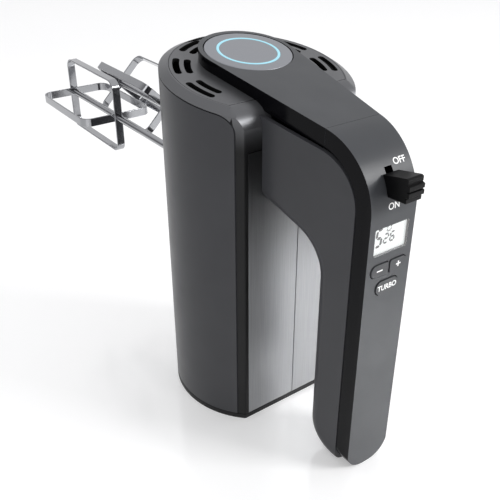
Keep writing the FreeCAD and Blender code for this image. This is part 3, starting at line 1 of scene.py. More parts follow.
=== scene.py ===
# %% [markdown]
# # A hand mixer that stands on its heel
# This lesson dresses a finished CAD model. The model brings every solid in its real place and size;
# what is added here is the surface: rounded edges, moulded plastic, brushed steel, chrome, a lit ring,
# a display with its digits, and the printed words. All lengths are in metres, +Z is up, +X is towards
# the handle, and the beaters point along -X.

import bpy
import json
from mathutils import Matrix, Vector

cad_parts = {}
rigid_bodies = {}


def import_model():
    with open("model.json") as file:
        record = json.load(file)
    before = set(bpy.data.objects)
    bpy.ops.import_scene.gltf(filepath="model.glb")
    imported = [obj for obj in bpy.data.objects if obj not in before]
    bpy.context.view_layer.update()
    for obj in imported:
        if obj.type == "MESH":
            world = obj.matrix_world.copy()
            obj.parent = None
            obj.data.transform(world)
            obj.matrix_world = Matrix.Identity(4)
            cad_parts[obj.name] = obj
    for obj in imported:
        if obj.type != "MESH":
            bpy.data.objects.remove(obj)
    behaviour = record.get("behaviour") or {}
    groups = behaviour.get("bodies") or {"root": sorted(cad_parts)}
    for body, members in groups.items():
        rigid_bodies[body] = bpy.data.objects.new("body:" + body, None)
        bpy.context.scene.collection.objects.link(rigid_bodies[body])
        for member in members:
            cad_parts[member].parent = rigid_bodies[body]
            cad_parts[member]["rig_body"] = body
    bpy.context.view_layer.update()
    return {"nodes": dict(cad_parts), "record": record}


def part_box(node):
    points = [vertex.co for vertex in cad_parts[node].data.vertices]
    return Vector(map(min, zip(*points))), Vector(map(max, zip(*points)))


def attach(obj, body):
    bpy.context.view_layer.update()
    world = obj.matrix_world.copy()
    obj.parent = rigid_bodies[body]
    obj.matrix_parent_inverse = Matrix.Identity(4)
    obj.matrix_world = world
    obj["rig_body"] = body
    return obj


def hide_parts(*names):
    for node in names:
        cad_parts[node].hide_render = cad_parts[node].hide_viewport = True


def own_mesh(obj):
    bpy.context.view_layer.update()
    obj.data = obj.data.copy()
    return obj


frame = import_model()

import json
import math

import bmesh
import bpy
import numpy as np

MM = 0.001

# %% [markdown]
# ## Sizes taken from the model
# Positions are never typed in twice. The front face, the display and the keys are read off the packed
# nodes, and the few numbers that a box can't tell, such as the slope of the top, are named here once.

# %% Named sizes
SLOPE = math.radians(10.4)
BEND_RADIUS = 36.0 * MM
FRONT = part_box("handle_front_cover")[1].x
window_low, window_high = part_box("display_window")
panel_low, panel_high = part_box("steel_panel_left")
HANDLE_TOP = 206.1 * MM
DECK_HEIGHT = 199.7 * MM
BEND_X = FRONT - BEND_RADIUS
BEND_Z = HANDLE_TOP - math.tan(SLOPE) * FRONT - BEND_RADIUS * math.tan((math.pi / 2 - SLOPE) / 2)
print("bend centre in mm: x %.1f z %.1f" % (BEND_X / MM, BEND_Z / MM))

# %% [markdown]
# ## Putting arrays into meshes
# Every new piece is worked out as whole numpy arrays. A grid of points with rows and columns needs
# one rule for its faces: point (r, c) joins (r+1, c), (r+1, c+1) and (r, c+1).

# %% A mesh from arrays
def mesh_piece(name, points, faces, material, body, smooth=True):
    """A finished piece: points is an (n, 3) array, faces a list of index tuples."""
    mesh = bpy.data.meshes.new(name)
    mesh.from_pydata(np.asarray(points, float).tolist(), [], [tuple(int(i) for i in f) for f in faces])
    mesh.validate()
    mesh.polygons.foreach_set("use_smooth", np.full(len(mesh.polygons), smooth))
    mesh.materials.append(material)
    piece = bpy.data.objects.new(name, mesh)
    bpy.context.scene.collection.objects.link(piece)
    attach(piece, body)
    print(name, len(mesh.vertices), "points", len(mesh.polygons), "faces on", body)
    return piece


# %% Faces of a grid
def grid_faces(rows, columns, close_rows=False, close_columns=False):
    """Quads of a grid of points; a closed direction joins its last line to its first."""
    r = np.arange(rows if close_rows else rows - 1)[:, None]
    c = np.arange(columns if close_columns else columns - 1)[None, :]
    r2, c2 = (r + 1) % rows, (c + 1) % columns
    quads = np.stack([r * columns + c, r2 * columns + c, r2 * columns + c2, r * columns + c2], axis=-1)
    return quads.reshape(-1, 4)


print("a grid of 3 by 4 points has", len(grid_faces(3, 4)), "faces")

# %% [markdown]
# ## Rounded edges on a CAD node
# No moulded or pressed edge is sharp: a tiny round catches the light as a thin bright line, and
# without it a model looks cut from paper. A copy of the node's mesh is welded, its flat faces are
# merged, and a Bevel modifier rounds every edge that turns by more than 25 degrees. A Weighted Normal
# modifier then lets the large faces lead the shading, so a flat face looks flat up to its round.

# %% Rounded copy
EDGE_ANGLE = math.radians(25)
WELD_GAP = 0.001 * MM
FLAT_ANGLE = math.radians(0.2)
FLAT_FACE_WEIGHT = 100
SLOT_OF = {part["node"]: part["material_slot"] for part in frame["record"]["subparts"]}


def rounded_copy(node, width, segments):
    """A welded copy of a CAD node with small rounds on its sharp edges; it stands for the node."""
    source = frame["nodes"][node]
    work = bmesh.new()
    work.from_mesh(source.data)
    bmesh.ops.remove_doubles(work, verts=work.verts, dist=WELD_GAP)
    bmesh.ops.dissolve_limit(work, angle_limit=FLAT_ANGLE, verts=work.verts, edges=work.edges)
    mesh = bpy.data.meshes.new(node + "_finish")
    work.to_mesh(mesh)
    work.free()
    mesh.polygons.foreach_set("use_smooth", np.full(len(mesh.polygons), True))
    piece = bpy.data.objects.new(node + "_finish", mesh)
    bpy.context.scene.collection.objects.link(piece)
    bevel = piece.modifiers.new("soft_edges", "BEVEL")
    bevel.width = width
    bevel.segments = segments
    bevel.limit_method = "ANGLE"
    bevel.angle_limit = EDGE_ANGLE
    bevel.use_clamp_overlap = True
    even = piece.modifiers.new("even_shading", "WEIGHTED_NORMAL")
    even.weight = FLAT_FACE_WEIGHT
    even.keep_sharp = True
    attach(piece, source["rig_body"])
    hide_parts(node)
    return piece


print("edges that turn by more than %.0f degrees get a round" % math.degrees(EDGE_ANGLE))

# %% [markdown]
# ## Finishes
# A finish is a small tree of nodes: a base colour that varies a little, a roughness that varies a
# little, and a fine bump. All patterns use Object coordinates, so they stay on the piece wherever
# the camera goes. The scale of a noise is the number of grains in a metre: 4000 makes a grain of a
# quarter of a millimetre.

# %% A plain finish to start from
def new_finish(name, colour, roughness, metallic=0.0, specular=0.5):
    """A material with one Principled shader, and its tree for more nodes."""
    material = bpy.data.materials.new(name)
    material.use_nodes = True
    shader = material.node_tree.nodes["Principled BSDF"]
    shader.inputs["Base Color"].default_value = (*colour, 1.0)
    shader.inputs["Roughness"].default_value = roughness
    shader.inputs["Metallic"].default_value = metallic
    shader.inputs["Specular IOR Level"].default_value = specular
    return material, material.node_tree, shader


# %% [markdown]
# A pattern is noise between 0 and 1. Stretching its coordinates turns spots into lines, and mapping its
# range turns it into a roughness or a pair of colours.

# %% Patterns
def stretched_noise(tree, scale, stretch=(1.0, 1.0, 1.0), detail=3.0):
    """Noise on Object coordinates; a stretch of (1, 1, 0.01) draws long lines along Z."""
    place = tree.nodes.new("ShaderNodeTexCoord")
    mapping = tree.nodes.new("ShaderNodeMapping")
    mapping.inputs["Scale"].default_value = stretch
    noise = tree.nodes.new("ShaderNodeTexNoise")
    noise.inputs["Scale"].default_value = scale
    noise.inputs["Detail"].default_value = detail
    tree.links.new(place.outputs["Object"], mapping.inputs["Vector"])
    tree.links.new(mapping.outputs["Vector"], noise.inputs["Vector"])
    return noise.outputs["Fac"]


NOISE_LOW, NOISE_HIGH = 0.3, 0.7
TONE_LOW, TONE_HIGH = 0.35, 0.65


def spread(tree, source, low, high):
    """Map the noise's usual range onto low..high, by a straight line."""
    node = tree.nodes.new("ShaderNodeMapRange")
    node.inputs["From Min"].default_value = NOISE_LOW
    node.inputs["From Max"].default_value = NOISE_HIGH
    node.inputs["To Min"].default_value = low
    node.inputs["To Max"].default_value = high
    tree.links.new(source, node.inputs["Value"])
    return node.outputs["Result"]


def two_tone(tree, shader, source, first, second):
    """Colour that drifts between two tones with a pattern."""
    ramp = tree.nodes.new("ShaderNodeValToRGB")
    ramp.color_ramp.elements[0].position = TONE_LOW
    ramp.color_ramp.elements[1].position = TONE_HIGH
    ramp.color_ramp.elements[0].color = (*first, 1.0)
    ramp.color_ramp.elements[1].color = (*second, 1.0)
    tree.links.new(source, ramp.inputs["Fac"])
    tree.links.new(ramp.outputs["Color"], shader.inputs["Base Color"])


# %% [markdown]
# Relief too fine to model is a bump: the pattern's height tilts the shading without moving the surface.

# %% Relief and tones
def bump(tree, shader, source, height, strength=1.0):
    """Fine relief from a pattern; height is the grain's real depth in metres."""
    node = tree.nodes.new("ShaderNodeBump")
    node.inputs["Distance"].default_value = height
    node.inputs["Strength"].default_value = strength
    tree.links.new(source, node.inputs["Height"])
    tree.links.new(node.outputs["Normal"], shader.inputs["Normal"])


def shade(colour, factor):
    """The same colour, lighter or darker."""
    return tuple(min(1.0, channel * factor) for channel in colour)


# %% [markdown]
# ### Moulded plastic
# The casing is satin plastic with a fine moulded grain, here a quarter of a millimetre across. It could
# be an image of a grain, but noise never repeats and needs no unwrapping. The grain is too small to
# see as bumps and shows only as a soft, even highlight.

# %% Moulded plastic
GRAIN_DEPTH = 0.02 * MM
GRAIN_STRENGTH = 0.35
TONE_PLAY = 0.05
ROUGH_PLAY = 0.03


def moulded(name, colour, roughness, grain=4000.0, metallic=0.0, specular=0.5):
    """Plastic or paint: a tone and a roughness that drift by TONE_PLAY and ROUGH_PLAY, and a grain."""
    material, tree, shader = new_finish(name, colour, roughness, metallic, specular)
    tones = stretched_noise(tree, 35.0)
    two_tone(tree, shader, tones, shade(colour, 1.0 - TONE_PLAY), shade(colour, 1.0 + TONE_PLAY))
    patches = spread(tree, stretched_noise(tree, 60.0), roughness - ROUGH_PLAY, roughness + ROUGH_PLAY)
    tree.links.new(patches, shader.inputs["Roughness"])
    bump(tree, shader, stretched_noise(tree, grain, detail=1.0), GRAIN_DEPTH, GRAIN_STRENGTH)
    return material


# %% [markdown]
# ### Metal
# Brushed steel is metal with thousands of hair lines, all one way: noise squeezed hard across the
# brushing direction and stretched along it. Drawing each line would be far too much geometry.

# %% Brushed metal
HAIR_DEPTH = 0.01 * MM
HAIR_STRENGTH = 0.3
HAIR_DARK = 0.10
HAIR_LIGHT = 0.07
HAIR_ROUGH = 0.05


def brushed(name, colour, roughness, stretch=(1.0, 1.0, 0.01), scale=3500.0, metallic=1.0, depth=1.0):
    """Metal with hair lines; depth scales how far the lines stand out from the rest."""
    material, tree, shader = new_finish(name, colour, roughness, metallic)
    lines = stretched_noise(tree, scale, stretch, 4.0)
    darker, lighter = shade(colour, 1.0 - HAIR_DARK * depth), shade(colour, 1.0 + HAIR_LIGHT * depth)
    two_tone(tree, shader, lines, darker, lighter)
    rough = spread(tree, lines, roughness - HAIR_ROUGH, roughness + HAIR_ROUGH)
    tree.links.new(rough, shader.inputs["Roughness"])
    bump(tree, shader, lines, HAIR_DEPTH, HAIR_STRENGTH * depth)
    return material


# %% [markdown]
# The steel panels are painted darker towards their top, and the frame's shoulder darker towards its foot.
# Both are painted shade, not a change in the metal or the paint. A reflection could look like this too,
# but it would slide as the view changes. Here the finish's own colour is multiplied by a tint that
# follows the height, so the shade stays on the piece.

# %% A painted shade that follows the height
def paint_shade_by_height(material, low, high, foot, head):
    """Multiply a finish's colour by foot below the height low and by head above high.

    Between them the tint is foot + (head - foot) * (3 u^2 - 2 u^3), with u = (z - low) / (high - low).
    """
    tree = material.node_tree
    shader = tree.nodes["Principled BSDF"]
    pattern = shader.inputs["Base Color"].links[0].from_socket
    place = tree.nodes.new("ShaderNodeTexCoord")
    parts = tree.nodes.new("ShaderNodeSeparateXYZ")
    height = tree.nodes.new("ShaderNodeMapRange")
    height.interpolation_type = "SMOOTHSTEP"
    for socket, value in (("From Min", low), ("From Max", high), ("To Min", foot), ("To Max", head)):
        height.inputs[socket].default_value = value
    tint = tree.nodes.new("ShaderNodeVectorMath")
    tint.operation = "SCALE"
    tree.links.new(place.outputs["Object"], parts.inputs["Vector"])
    tree.links.new(parts.outputs["Z"], height.inputs["Value"])
    tree.links.new(pattern, tint.inputs["Vector"])
    tree.links.new(height.outputs["Result"], tint.inputs["Scale"])
    tree.links.new(tint.outputs["Vector"], shader.inputs["Base Color"])
    return material


# %% [markdown]
# Chrome is nearly a mirror. A perfectly even one looks drawn, so its roughness drifts in soft patches.

# %% Polished metal
CHROME_SMOOTH, CHROME_DULL = 0.6, 1.6
CHROME_PLAY = 0.03


def polished(name, colour, roughness):
    """Chrome: nearly a mirror, its roughness uneven in soft patches."""
    material, tree, shader = new_finish(name, colour, roughness, 1.0)
    noise = stretched_noise(tree, 120.0)
    patches = spread(tree, noise, roughness * CHROME_SMOOTH, roughness * CHROME_DULL)
    tree.links.new(patches, shader.inputs["Roughness"])
    tones = stretched_noise(tree, 40.0)
    two_tone(tree, shader, tones, shade(colour, 1.0 - CHROME_PLAY), shade(colour, 1.0 + CHROME_PLAY))
    return material


# %% [markdown]
# ### Light and glass
# The ring and the display's screen are lit from behind. A lamp behind a thin sheet would need many more
# samples, so their surfaces give the light themselves. The window is a thin clear sheet: mostly
# transparent, with a faint gloss on top.

# %% Light and glass
LIT_ROUGHNESS = 0.35
GLASS_ROUGHNESS = 0.03
GLASS_ALPHA = 0.12
GLASS_RIPPLE = 0.1


def lit(name, colour, strength, glow=None):
    """A surface that shines: colour is its own, and glow is the colour of its light."""
    material, tree, shader = new_finish(name, colour, LIT_ROUGHNESS)
    two_tone(tree, shader, stretched_noise(tree, 90.0), shade(colour, 1.0 - TONE_PLAY), colour)
    shader.inputs["Emission Color"].default_value = (*(glow or colour), 1.0)
    shader.inputs["Emission Strength"].default_value = strength
    return material


def clear_sheet(name):
    """A thin clear window: mostly see-through, with a faint gloss and ripple."""
    material, tree, shader = new_finish(name, (1.0, 1.0, 1.0), GLASS_ROUGHNESS)
    shader.inputs["Alpha"].default_value = GLASS_ALPHA
    bump(tree, shader, stretched_noise(tree, 50.0), HAIR_DEPTH, GLASS_RIPPLE)
    return material


# %% [markdown]
# ### One finish per material slot
# The record names the slots. Each slot's finish is made once and shared by all its nodes, so a change
# of tone is made in one place. Each line gives a name, a colour, a roughness, and then what differs.

# %% The finishes of this mixer
GRAPHITE = (0.125, 0.127, 0.134)
STEEL_PLAIN_UP_TO = 85 * MM
STEEL_SHADE_FROM = 172 * MM
STEEL_PAINTED_SHADE = 0.10
FINISH = {
    "dark_shell": moulded("charcoal_shell", (0.046, 0.047, 0.052), 0.36, specular=0.30),
    "satin_frame": moulded("graphite_paint", GRAPHITE, 0.34, metallic=0.5, specular=0.4),
    "gloss_cover": moulded("cover_face", (0.060, 0.063, 0.069), 0.36, specular=0.26),
    # Painted shade: the steel panels are darkened towards their top.
    "steel_panel": paint_shade_by_height(brushed("brushed_panel_painted_shade", (0.33, 0.335, 0.345), 0.46),
                                  STEEL_PLAIN_UP_TO, STEEL_SHADE_FROM, 1.0, STEEL_PAINTED_SHADE),
    "button_satin": brushed("button_face", (0.30, 0.31, 0.335), 0.42, (1.0, 0.05, 1.0), 500.0, 0.6, 0.35),
    "light_ring": lit("ring_light", (0.20, 0.42, 0.50), 0.50, (0.42, 0.80, 0.92)),
    "display_glass": clear_sheet("display_glass"),
    "display_panel": moulded("display_housing", (0.5, 0.52, 0.5), 0.4),
    "key_cap": moulded("key_caps", (0.055, 0.057, 0.062), 0.38, specular=0.3),
    "knob_black": moulded("knob_black", (0.003, 0.003, 0.0034), 0.4, specular=0.12),
    "chrome": polished("beater_chrome", (0.36, 0.365, 0.38), 0.10),
    "black_plastic": moulded("inner_black", (0.010, 0.010, 0.011), 0.5, specular=0.25),
    "inlet_rubber": moulded("inlet_rubber", (0.014, 0.014, 0.014), 0.6, 2500.0, specular=0.3),
    "steel": brushed("turned_steel", (0.40, 0.40, 0.41), 0.28, (1.0, 1.0, 1.0), 1500.0),
    "iron": brushed("stacked_sheets", (0.10, 0.10, 0.11), 0.5, (0.01, 0.01, 1.0), 1500.0),
    "copper": brushed("enamelled_wire", (0.50, 0.17, 0.07), 0.35, (0.02, 0.02, 1.0), 1200.0),
    "bronze": brushed("bearing_bronze", (0.45, 0.29, 0.13), 0.4, (1.0, 1.0, 1.0), 1500.0),
    "cast_alloy": brushed("cast_alloy", (0.32, 0.32, 0.33), 0.55, (1.0, 1.0, 1.0), 700.0),
    "gear_plastic": moulded("gear_acetal", (0.72, 0.72, 0.66), 0.4),
    "carbon": moulded("brush_carbon", (0.02, 0.02, 0.021), 0.7),
    "circuit_board": moulded("solder_mask", (0.02, 0.12, 0.04), 0.3),
}

# %% [markdown]
# A few pieces need a finish of their own: the covers' polished side, the painted shade on the frame's
# front and lower parts and on the deck's slot walls, the ink with its faint painted glow, and the
# display's digits and screen.

# %% Second finishes
# Painted shade: the front of the frame's shoulder darkens towards its foot.
SHOULDER_RISE = 20 * MM
SHOULDER_SHADE_DEPTH = 0.05
SHOULDER_PAINTED_SHADE = paint_shade_by_height(moulded("graphite_painted_shade", GRAPHITE, 0.34, metallic=0.5, specular=0.4),
                               panel_high.z, panel_high.z + SHOULDER_RISE, SHOULDER_SHADE_DEPTH, 1.0)
GLOSS_BAND = moulded("cover_band_black", (0.003, 0.003, 0.004), 0.16, specular=0.09)
# Painted shade: the frame below its rim is near-black.
FRAME_PAINTED_SHADE = moulded("frame_painted_shade_black", (0.004, 0.004, 0.005), 0.26, specular=0.15)
# Painted shade: the walls of the deck's vent slots are black.
SLOT_PAINTED_SHADE = moulded("slot_painted_shade_black", (0.006, 0.006, 0.006), 0.6, specular=0.15)
# Painted glow: the white ink gives a little light of its own.
PRINT_WHITE_GLOW = lit("printed_white_glow", (0.88, 0.88, 0.87), 0.15)
DIGIT_BLACK = moulded("digit_black", (0.006, 0.006, 0.008), 0.5, specular=0.2)
DIGIT_GREY = moulded("digit_grey", (0.10, 0.105, 0.105), 0.5, specular=0.2)
SCREEN = lit("screen_light", (0.58, 0.61, 0.60), 0.36, (0.90, 0.93, 0.92))
print("the shoulder fades over %.0f mm from %.1f mm up" % (SHOULDER_RISE / MM, panel_high.z / MM))

# %% Every node gets its slot's finish
for node, thing in frame["nodes"].items():
    for place in thing.material_slots:
        place.material = FINISH[SLOT_OF[node]]
print(len(FINISH), "finishes on", len(frame["nodes"]), "nodes")

# %% [markdown]
# ## The casing
# The casing's parts already have their shape. Modelling them again could give softer curves, but could
# lose the exact fit between them, so each one keeps its CAD mesh and gets a small round on its edges.

# %% Casing pieces
def dress(node, width, segments=3):
    """A rounded copy of a node in its own slot's finish."""
    piece = rounded_copy(node, width, segments)
    piece.data.materials.clear()
    piece.data.materials.append(FINISH[SLOT_OF[node]])
    return piece


EDGE_ROUNDS_MM = {
    "body_shell": 0.5, "body_frame": 0.8, "vent_deck": 0.55,
    "handle_left_shell": 0.35, "handle_right_shell": 0.35, "heel_plate": 0.3,
    "steel_panel_left": 0.15, "steel_panel_right": 0.15, "eject_button": 0.25,
    "minus_key": 0.35, "plus_key": 0.35, "turbo_key": 0.35,
    "switch_knob": 0.35, "socket_collars": 0.3, "cord_inlet": 0.3,
}
for node, width in EDGE_ROUNDS_MM.items():
    dress(node, width * MM)
print(len(EDGE_ROUNDS_MM), "casing pieces dressed, rounds of", min(EDGE_ROUNDS_MM.values()), "to",
      max(EDGE_ROUNDS_MM.values()), "mm")


# %% [markdown]
# Some mouldings have two finishes on one piece, and some have a painted shade on part of it. They could
# be cut in two, but a cut shows as a seam, so their faces are sorted by the way they point and where they
# lie. Both come out of the mesh as whole arrays, and a true-or-false array picks the faces.

# %% Sorting faces
def face_data(piece):
    """Normals and middles of a piece's faces, as two (n, 3) arrays."""
    count = len(piece.data.polygons)
    normals, middles = np.zeros(count * 3), np.zeros(count * 3)
    piece.data.polygons.foreach_get("normal", normals)
    piece.data.polygons.foreach_get("center", middles)
    return normals.reshape(-1, 3), middles.reshape(-1, 3)


def split_finish(piece, extra, chosen):
    """The chosen faces, a true-or-false array, take an extra finish; the others keep theirs."""
    index = np.zeros(len(piece.data.polygons), dtype=np.int32)
    piece.data.polygons.foreach_get("material_index", index)
    piece.data.materials.append(extra)
    index[chosen] = len(piece.data.materials) - 1
    piece.data.polygons.foreach_set("material_index", index)
    print(piece.name, int(chosen.sum()), "faces take", extra.name)


# %% [markdown]
# Each of the handle's two covers has a satin face and a polished black side wall. A normal's part along
# an axis is the cosine of its angle to it: 1 points straight along, 0 points across.

# %% Covers in two finishes
COVER_ROUND = 0.45 * MM
SIDEWAYS = 0.5
FORWARD = 0.3
UPRIGHT = 0.3
TOP_NORMAL = np.array([math.sin(SLOPE), 0.0, math.cos(SLOPE)])


def side_walls(piece):
    """Faces that point mostly along Y, and the back wall round the button."""
    normals, _ = face_data(piece)
    back_wall = (normals[:, 0] < FORWARD) & (np.abs(normals @ TOP_NORMAL) < UPRIGHT)
    return (np.abs(normals[:, 1]) > SIDEWAYS) | back_wall


for node in ("handle_top_cover", "handle_front_cover"):
    cover = dress(node, COVER_ROUND)
    split_finish(cover, GLOSS_BAND, side_walls(cover))

# %% [markdown]
# The frame is graphite on its rim and shoulder. Below the rim it is near-black, a painted shade for the
# dark under the rim. Its front face carries a painted shade that fades from one to the other, so that the
# shoulder's soft highlight doesn't end in a hard line. In the deck only the faces that look up keep their
# finish; the walls of the vent slots are painted black, a painted shade, because they lie in the dark.

# %% Frame and deck
RIM_WALL = 5.0 * MM
RIM_DEPTH = 9.0 * MM
RIM_UPRIGHT = 0.2
DECK_UPWARD = 0.5
FRONT_PLAY = 3.0 * MM


def lower_frame(piece):
    """Upright faces of the frame under its rim, and all that lies deeper than the rim."""
    normals, middles = face_data(piece)
    depth = DECK_HEIGHT - math.tan(SLOPE) * middles[:, 0] - middles[:, 2]
    return (depth > RIM_DEPTH) | ((normals[:, 2] < RIM_UPRIGHT) & (depth > RIM_WALL))


def front_of_frame(piece):
    """Faces that look forwards at the steel panels' plane."""
    normals, middles = face_data(piece)
    return (normals[:, 0] > FORWARD) & (middles[:, 0] > panel_low.x - FRONT_PLAY)


frame_piece = bpy.data.objects["body_frame_finish"]
split_finish(frame_piece, FRAME_PAINTED_SHADE, lower_frame(frame_piece))
split_finish(frame_piece, SHOULDER_PAINTED_SHADE, front_of_frame(frame_piece))
deck_piece = bpy.data.objects["vent_deck_finish"]
split_finish(deck_piece, SLOT_PAINTED_SHADE, face_data(deck_piece)[0][:, 2] < DECK_UPWARD)

# %% [markdown]
# ## The beaters' strips
# Each beater has two loops of flat chromed strip, one inside the other and a quarter turn apart. A
# strip is a flat section with rounded edges, carried round a rectangle whose corners are bends. A curve
# with a bevel shape could carry it too. Here the path and the section are arrays, because their sum
# then gives every point of the loop at once.

# %% The path of a loop
def rounded_path(left, right, half, bend, turns=14):
    """Points and outward normals of a rectangle in the XZ plane with its corners bent to arcs.

    On each arc the point is centre + bend * (cos a, sin a) and the normal is (cos a, sin a); the
    straight runs are the spans between arcs.
    """
    quarter = np.linspace(0.0, math.pi / 2, turns)
    points, normals = [], []
    for number, (x, z) in enumerate(((right, half), (left, half), (left, -half), (right, -half))):
        angle = quarter + number * math.pi / 2
        normal = np.stack([np.cos(angle), np.sin(angle)], axis=-1)
        centre = np.array([x - math.copysign(bend, x - (left + right) / 2), z - math.copysign(bend, z)])
        points.append(centre + bend * normal)
        normals.append(normal)
    return np.concatenate(points), np.concatenate(normals)


# %% The strip's section
STRIP_WIDE = 5.8 * MM
STRIP_THICK = 1.1 * MM
STRIP_BEND = 7.0 * MM
STRIP_FLATNESS = 1.25


def strip_section(wide, thick, count=24):
    """Outline of a flat strip with rounded edges, as two arrays.

    With r = thick / 2, across is r cos a plus or minus (wide / 2 - r), and through is
    r * STRIP_FLATNESS * sin a, held between -r and r, which keeps the broad faces flat.
    """
    angle = np.linspace(0.0, 2 * math.pi, count, endpoint=False)
    round_end = thick / 2
    across = np.cos(angle) * round_end + np.sign(np.cos(angle)) * (wide / 2 - round_end)
    through = np.clip(np.sin(angle) * STRIP_FLATNESS, -1.0, 1.0) * round_end
    return across, through


print("strip: %.1f by %.1f mm, bent to %.0f mm" % (STRIP_WIDE / MM, STRIP_THICK / MM, STRIP_BEND / MM))

# %% Four loops
def middle_of(node):
    """The middle of a node's box."""
    low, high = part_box(node)
    return (low + high) / 2


def strip_loop(node, like, wide_axis, turn):
    """A loop with the size of the upright or level loop named like, turned about the beater's axis.

    A point is path + normal * (through - thick / 2) in the loop's own plane and across out of it. The
    turn t then gives y = across cos t - height sin t and z = across sin t + height cos t.
    """
    low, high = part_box(like)
    half = (high[wide_axis] - low[wide_axis]) / 2
    path, normals = rounded_path(low.x, high.x, half, STRIP_BEND)
    across, through = strip_section(STRIP_WIDE, STRIP_THICK)
    depth = through - STRIP_THICK / 2
    plane = path[:, None, :] + normals[:, None, :] * depth[None, :, None]
    x, height = plane[:, :, 0], plane[:, :, 1]
    cos, sin = math.cos(turn), math.sin(turn)
    centre = middle_of(node)
    y = across * cos - height * sin + centre.y
    z = across * sin + height * cos + centre.z
    points = np.stack([x, y, z], axis=-1).reshape(-1, 3)
    faces = grid_faces(len(path), len(across), True, True)
    side = node.split("_")[-1]
    piece = mesh_piece(node + "_strip", points, faces, FINISH["chrome"], "beater_" + side)
    work = bmesh.new()
    work.from_mesh(piece.data)
    bmesh.ops.recalc_face_normals(work, faces=work.faces)
    work.to_mesh(piece.data)
    work.free()
    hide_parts(node)
    return piece


AXIS_Y, AXIS_Z = 1, 2
for side, turn in (("right", 0.0), ("left", math.pi / 4)):
    strip_loop("beater_loop_a_" + side, "beater_loop_a_right", AXIS_Z, turn)
    strip_loop("beater_loop_b_" + side, "beater_loop_b_right", AXIS_Y, turn + math.pi / 2)

# %% [markdown]
# ## The button's spring
# Under the button stands a coil spring, and pressing the button shortens it. A rigid copy would come
# through the button. Here the coil is drawn as a tube along a helix, and its length is read off the box
# of the imported spring, which leans with the button.

# %% A tube along a helix
SPRING_RADIUS = 5.0 * MM
SPRING_WIRE = 0.45 * MM
SPRING_TURNS = 5


def helix_tube(base, across, side, axis, radius, wire, length, turns, steps=180, count=12):
    """A round wire wound on a cylinder.

    The wire's middle at t in 0..1 is base + radius * (cos a * across + sin a * side) + climb * axis,
    with a = 2 pi * turns * t and climb = wire + (length - 2 * wire) * t. Round it go the points
    middle + wire * (cos b * out + sin b * up), where out points away from the axis.
    """
    share = np.linspace(0.0, 1.0, steps)[:, None]
    turn = 2 * math.pi * turns * share
    out = np.cos(turn) * across + np.sin(turn) * side
    middle = base + radius * out + (wire + (length - 2 * wire) * share) * axis
    run = np.gradient(middle, axis=0)
    up = np.cross(run / np.linalg.norm(run, axis=1, keepdims=True), out)
    corner = np.linspace(0.0, 2 * math.pi, count, endpoint=False)[None, :, None]
    points = middle[:, None] + wire * (np.cos(corner) * out[:, None] + np.sin(corner) * up[:, None])
    faces = [tuple(quad) for quad in grid_faces(steps, count, False, True)]
    faces += [tuple(range(count)), tuple(range(steps * count - 1, (steps - 1) * count - 1, -1))]
    return points.reshape(-1, 3), faces


# %% Spring
lean_across = np.array([math.cos(SLOPE), 0.0, -math.sin(SLOPE)])
spring_low, spring_high = [np.array(corner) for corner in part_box("eject_spring")]
coil_width = 2 * (SPRING_RADIUS + SPRING_WIRE)
spring_length = (spring_high[2] - spring_low[2] - coil_width * math.sin(SLOPE)) / math.cos(SLOPE)
spring_base = (spring_low + spring_high) / 2 - TOP_NORMAL * spring_length / 2
coil_points, coil_faces = helix_tube(spring_base, lean_across, np.array([0.0, 1.0, 0.0]), TOP_NORMAL,
                                     SPRING_RADIUS, SPRING_WIRE, spring_length, SPRING_TURNS)
coil_piece = mesh_piece("eject_spring_coil", coil_points, coil_faces, FINISH["steel"], "housing")
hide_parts("eject_spring")
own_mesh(coil_piece)
print("spring %.1f mm long at rest" % (spring_length / MM))

# %% [markdown]
# ## Where a point lies on the handle
# The handle's outer face runs down a slope, round a bend and straight down. One function gives a
# point of that face from the distance along it, so a printed word can wrap round the bend.

# %% The handle's face as a surface
def on_face(across, along, lift):
    """Points on the handle's face.

    across runs along +Y; along is the length measured up the face from where the bend starts.
    On the bend the angle is along / radius, and the point is centre + (radius + lift) * (cos, sin).
    Below it the face is upright: x = front + lift and z = bend centre + along. Above it the face runs
    on straight up the slope.
    """
    angle = np.clip(along / BEND_RADIUS, 0.0, math.pi / 2 - SLOPE)
    rest = along - angle * BEND_RADIUS
    x = BEND_X + (BEND_RADIUS + lift) * np.cos(angle) - rest * np.sin(angle)
    z = BEND_Z + (BEND_RADIUS + lift) * np.sin(angle) + rest * np.cos(angle)
    return np.stack([x, across + 0.0 * x, z], axis=-1)


print("the bend is %.1f mm long" % ((math.pi / 2 - SLOPE) * BEND_RADIUS / MM))

# %% [markdown]
# ## Printed words
# The words are ink on the casing and the keys. They could be part of a painted image, but a mesh stays
# sharp at any size. Flat text is turned into a mesh without a thickness, because ink is thinner than a
# model needs, and its points are carried onto the face by the function above.

# %% Printing
CAP_SHARE = 0.7
INK = 0.05 * MM


def printed(name, text, height, centre, along, lift, body, stretch=1.0, bold=0.02):
    """Text with capitals of a height, centred on the face at (centre, along) and lift above it.

    Its letters are stretch times as wide, and their strokes grow by bold times the height.
    """
    curve = bpy.data.curves.new(name + "_text", "FONT")
    curve.body = text
    curve.size = height / CAP_SHARE
    curve.align_x, curve.align_y = "CENTER", "CENTER"
    curve.offset = height * bold
    holder = bpy.data.objects.new(name + "_text", curve)
    bpy.context.scene.collection.objects.link(holder)
    bpy.context.view_layer.update()
    flat = bpy.data.meshes.new_from_object(holder)
    bpy.data.objects.remove(holder)
    points = np.zeros(len(flat.vertices) * 3)
    flat.vertices.foreach_get("co", points)
    points = points.reshape(-1, 3)
    middle = (points.min(0) + points.max(0)) / 2
    right_by, up_by = (points[:, 0] - middle[0]) * stretch, points[:, 1] - middle[1]
    placed = on_face(centre + right_by, along + up_by, lift)
    faces = [tuple(p.vertices) for p in flat.polygons]
    return mesh_piece(name, placed, faces, PRINT_WHITE_GLOW, body, smooth=False)


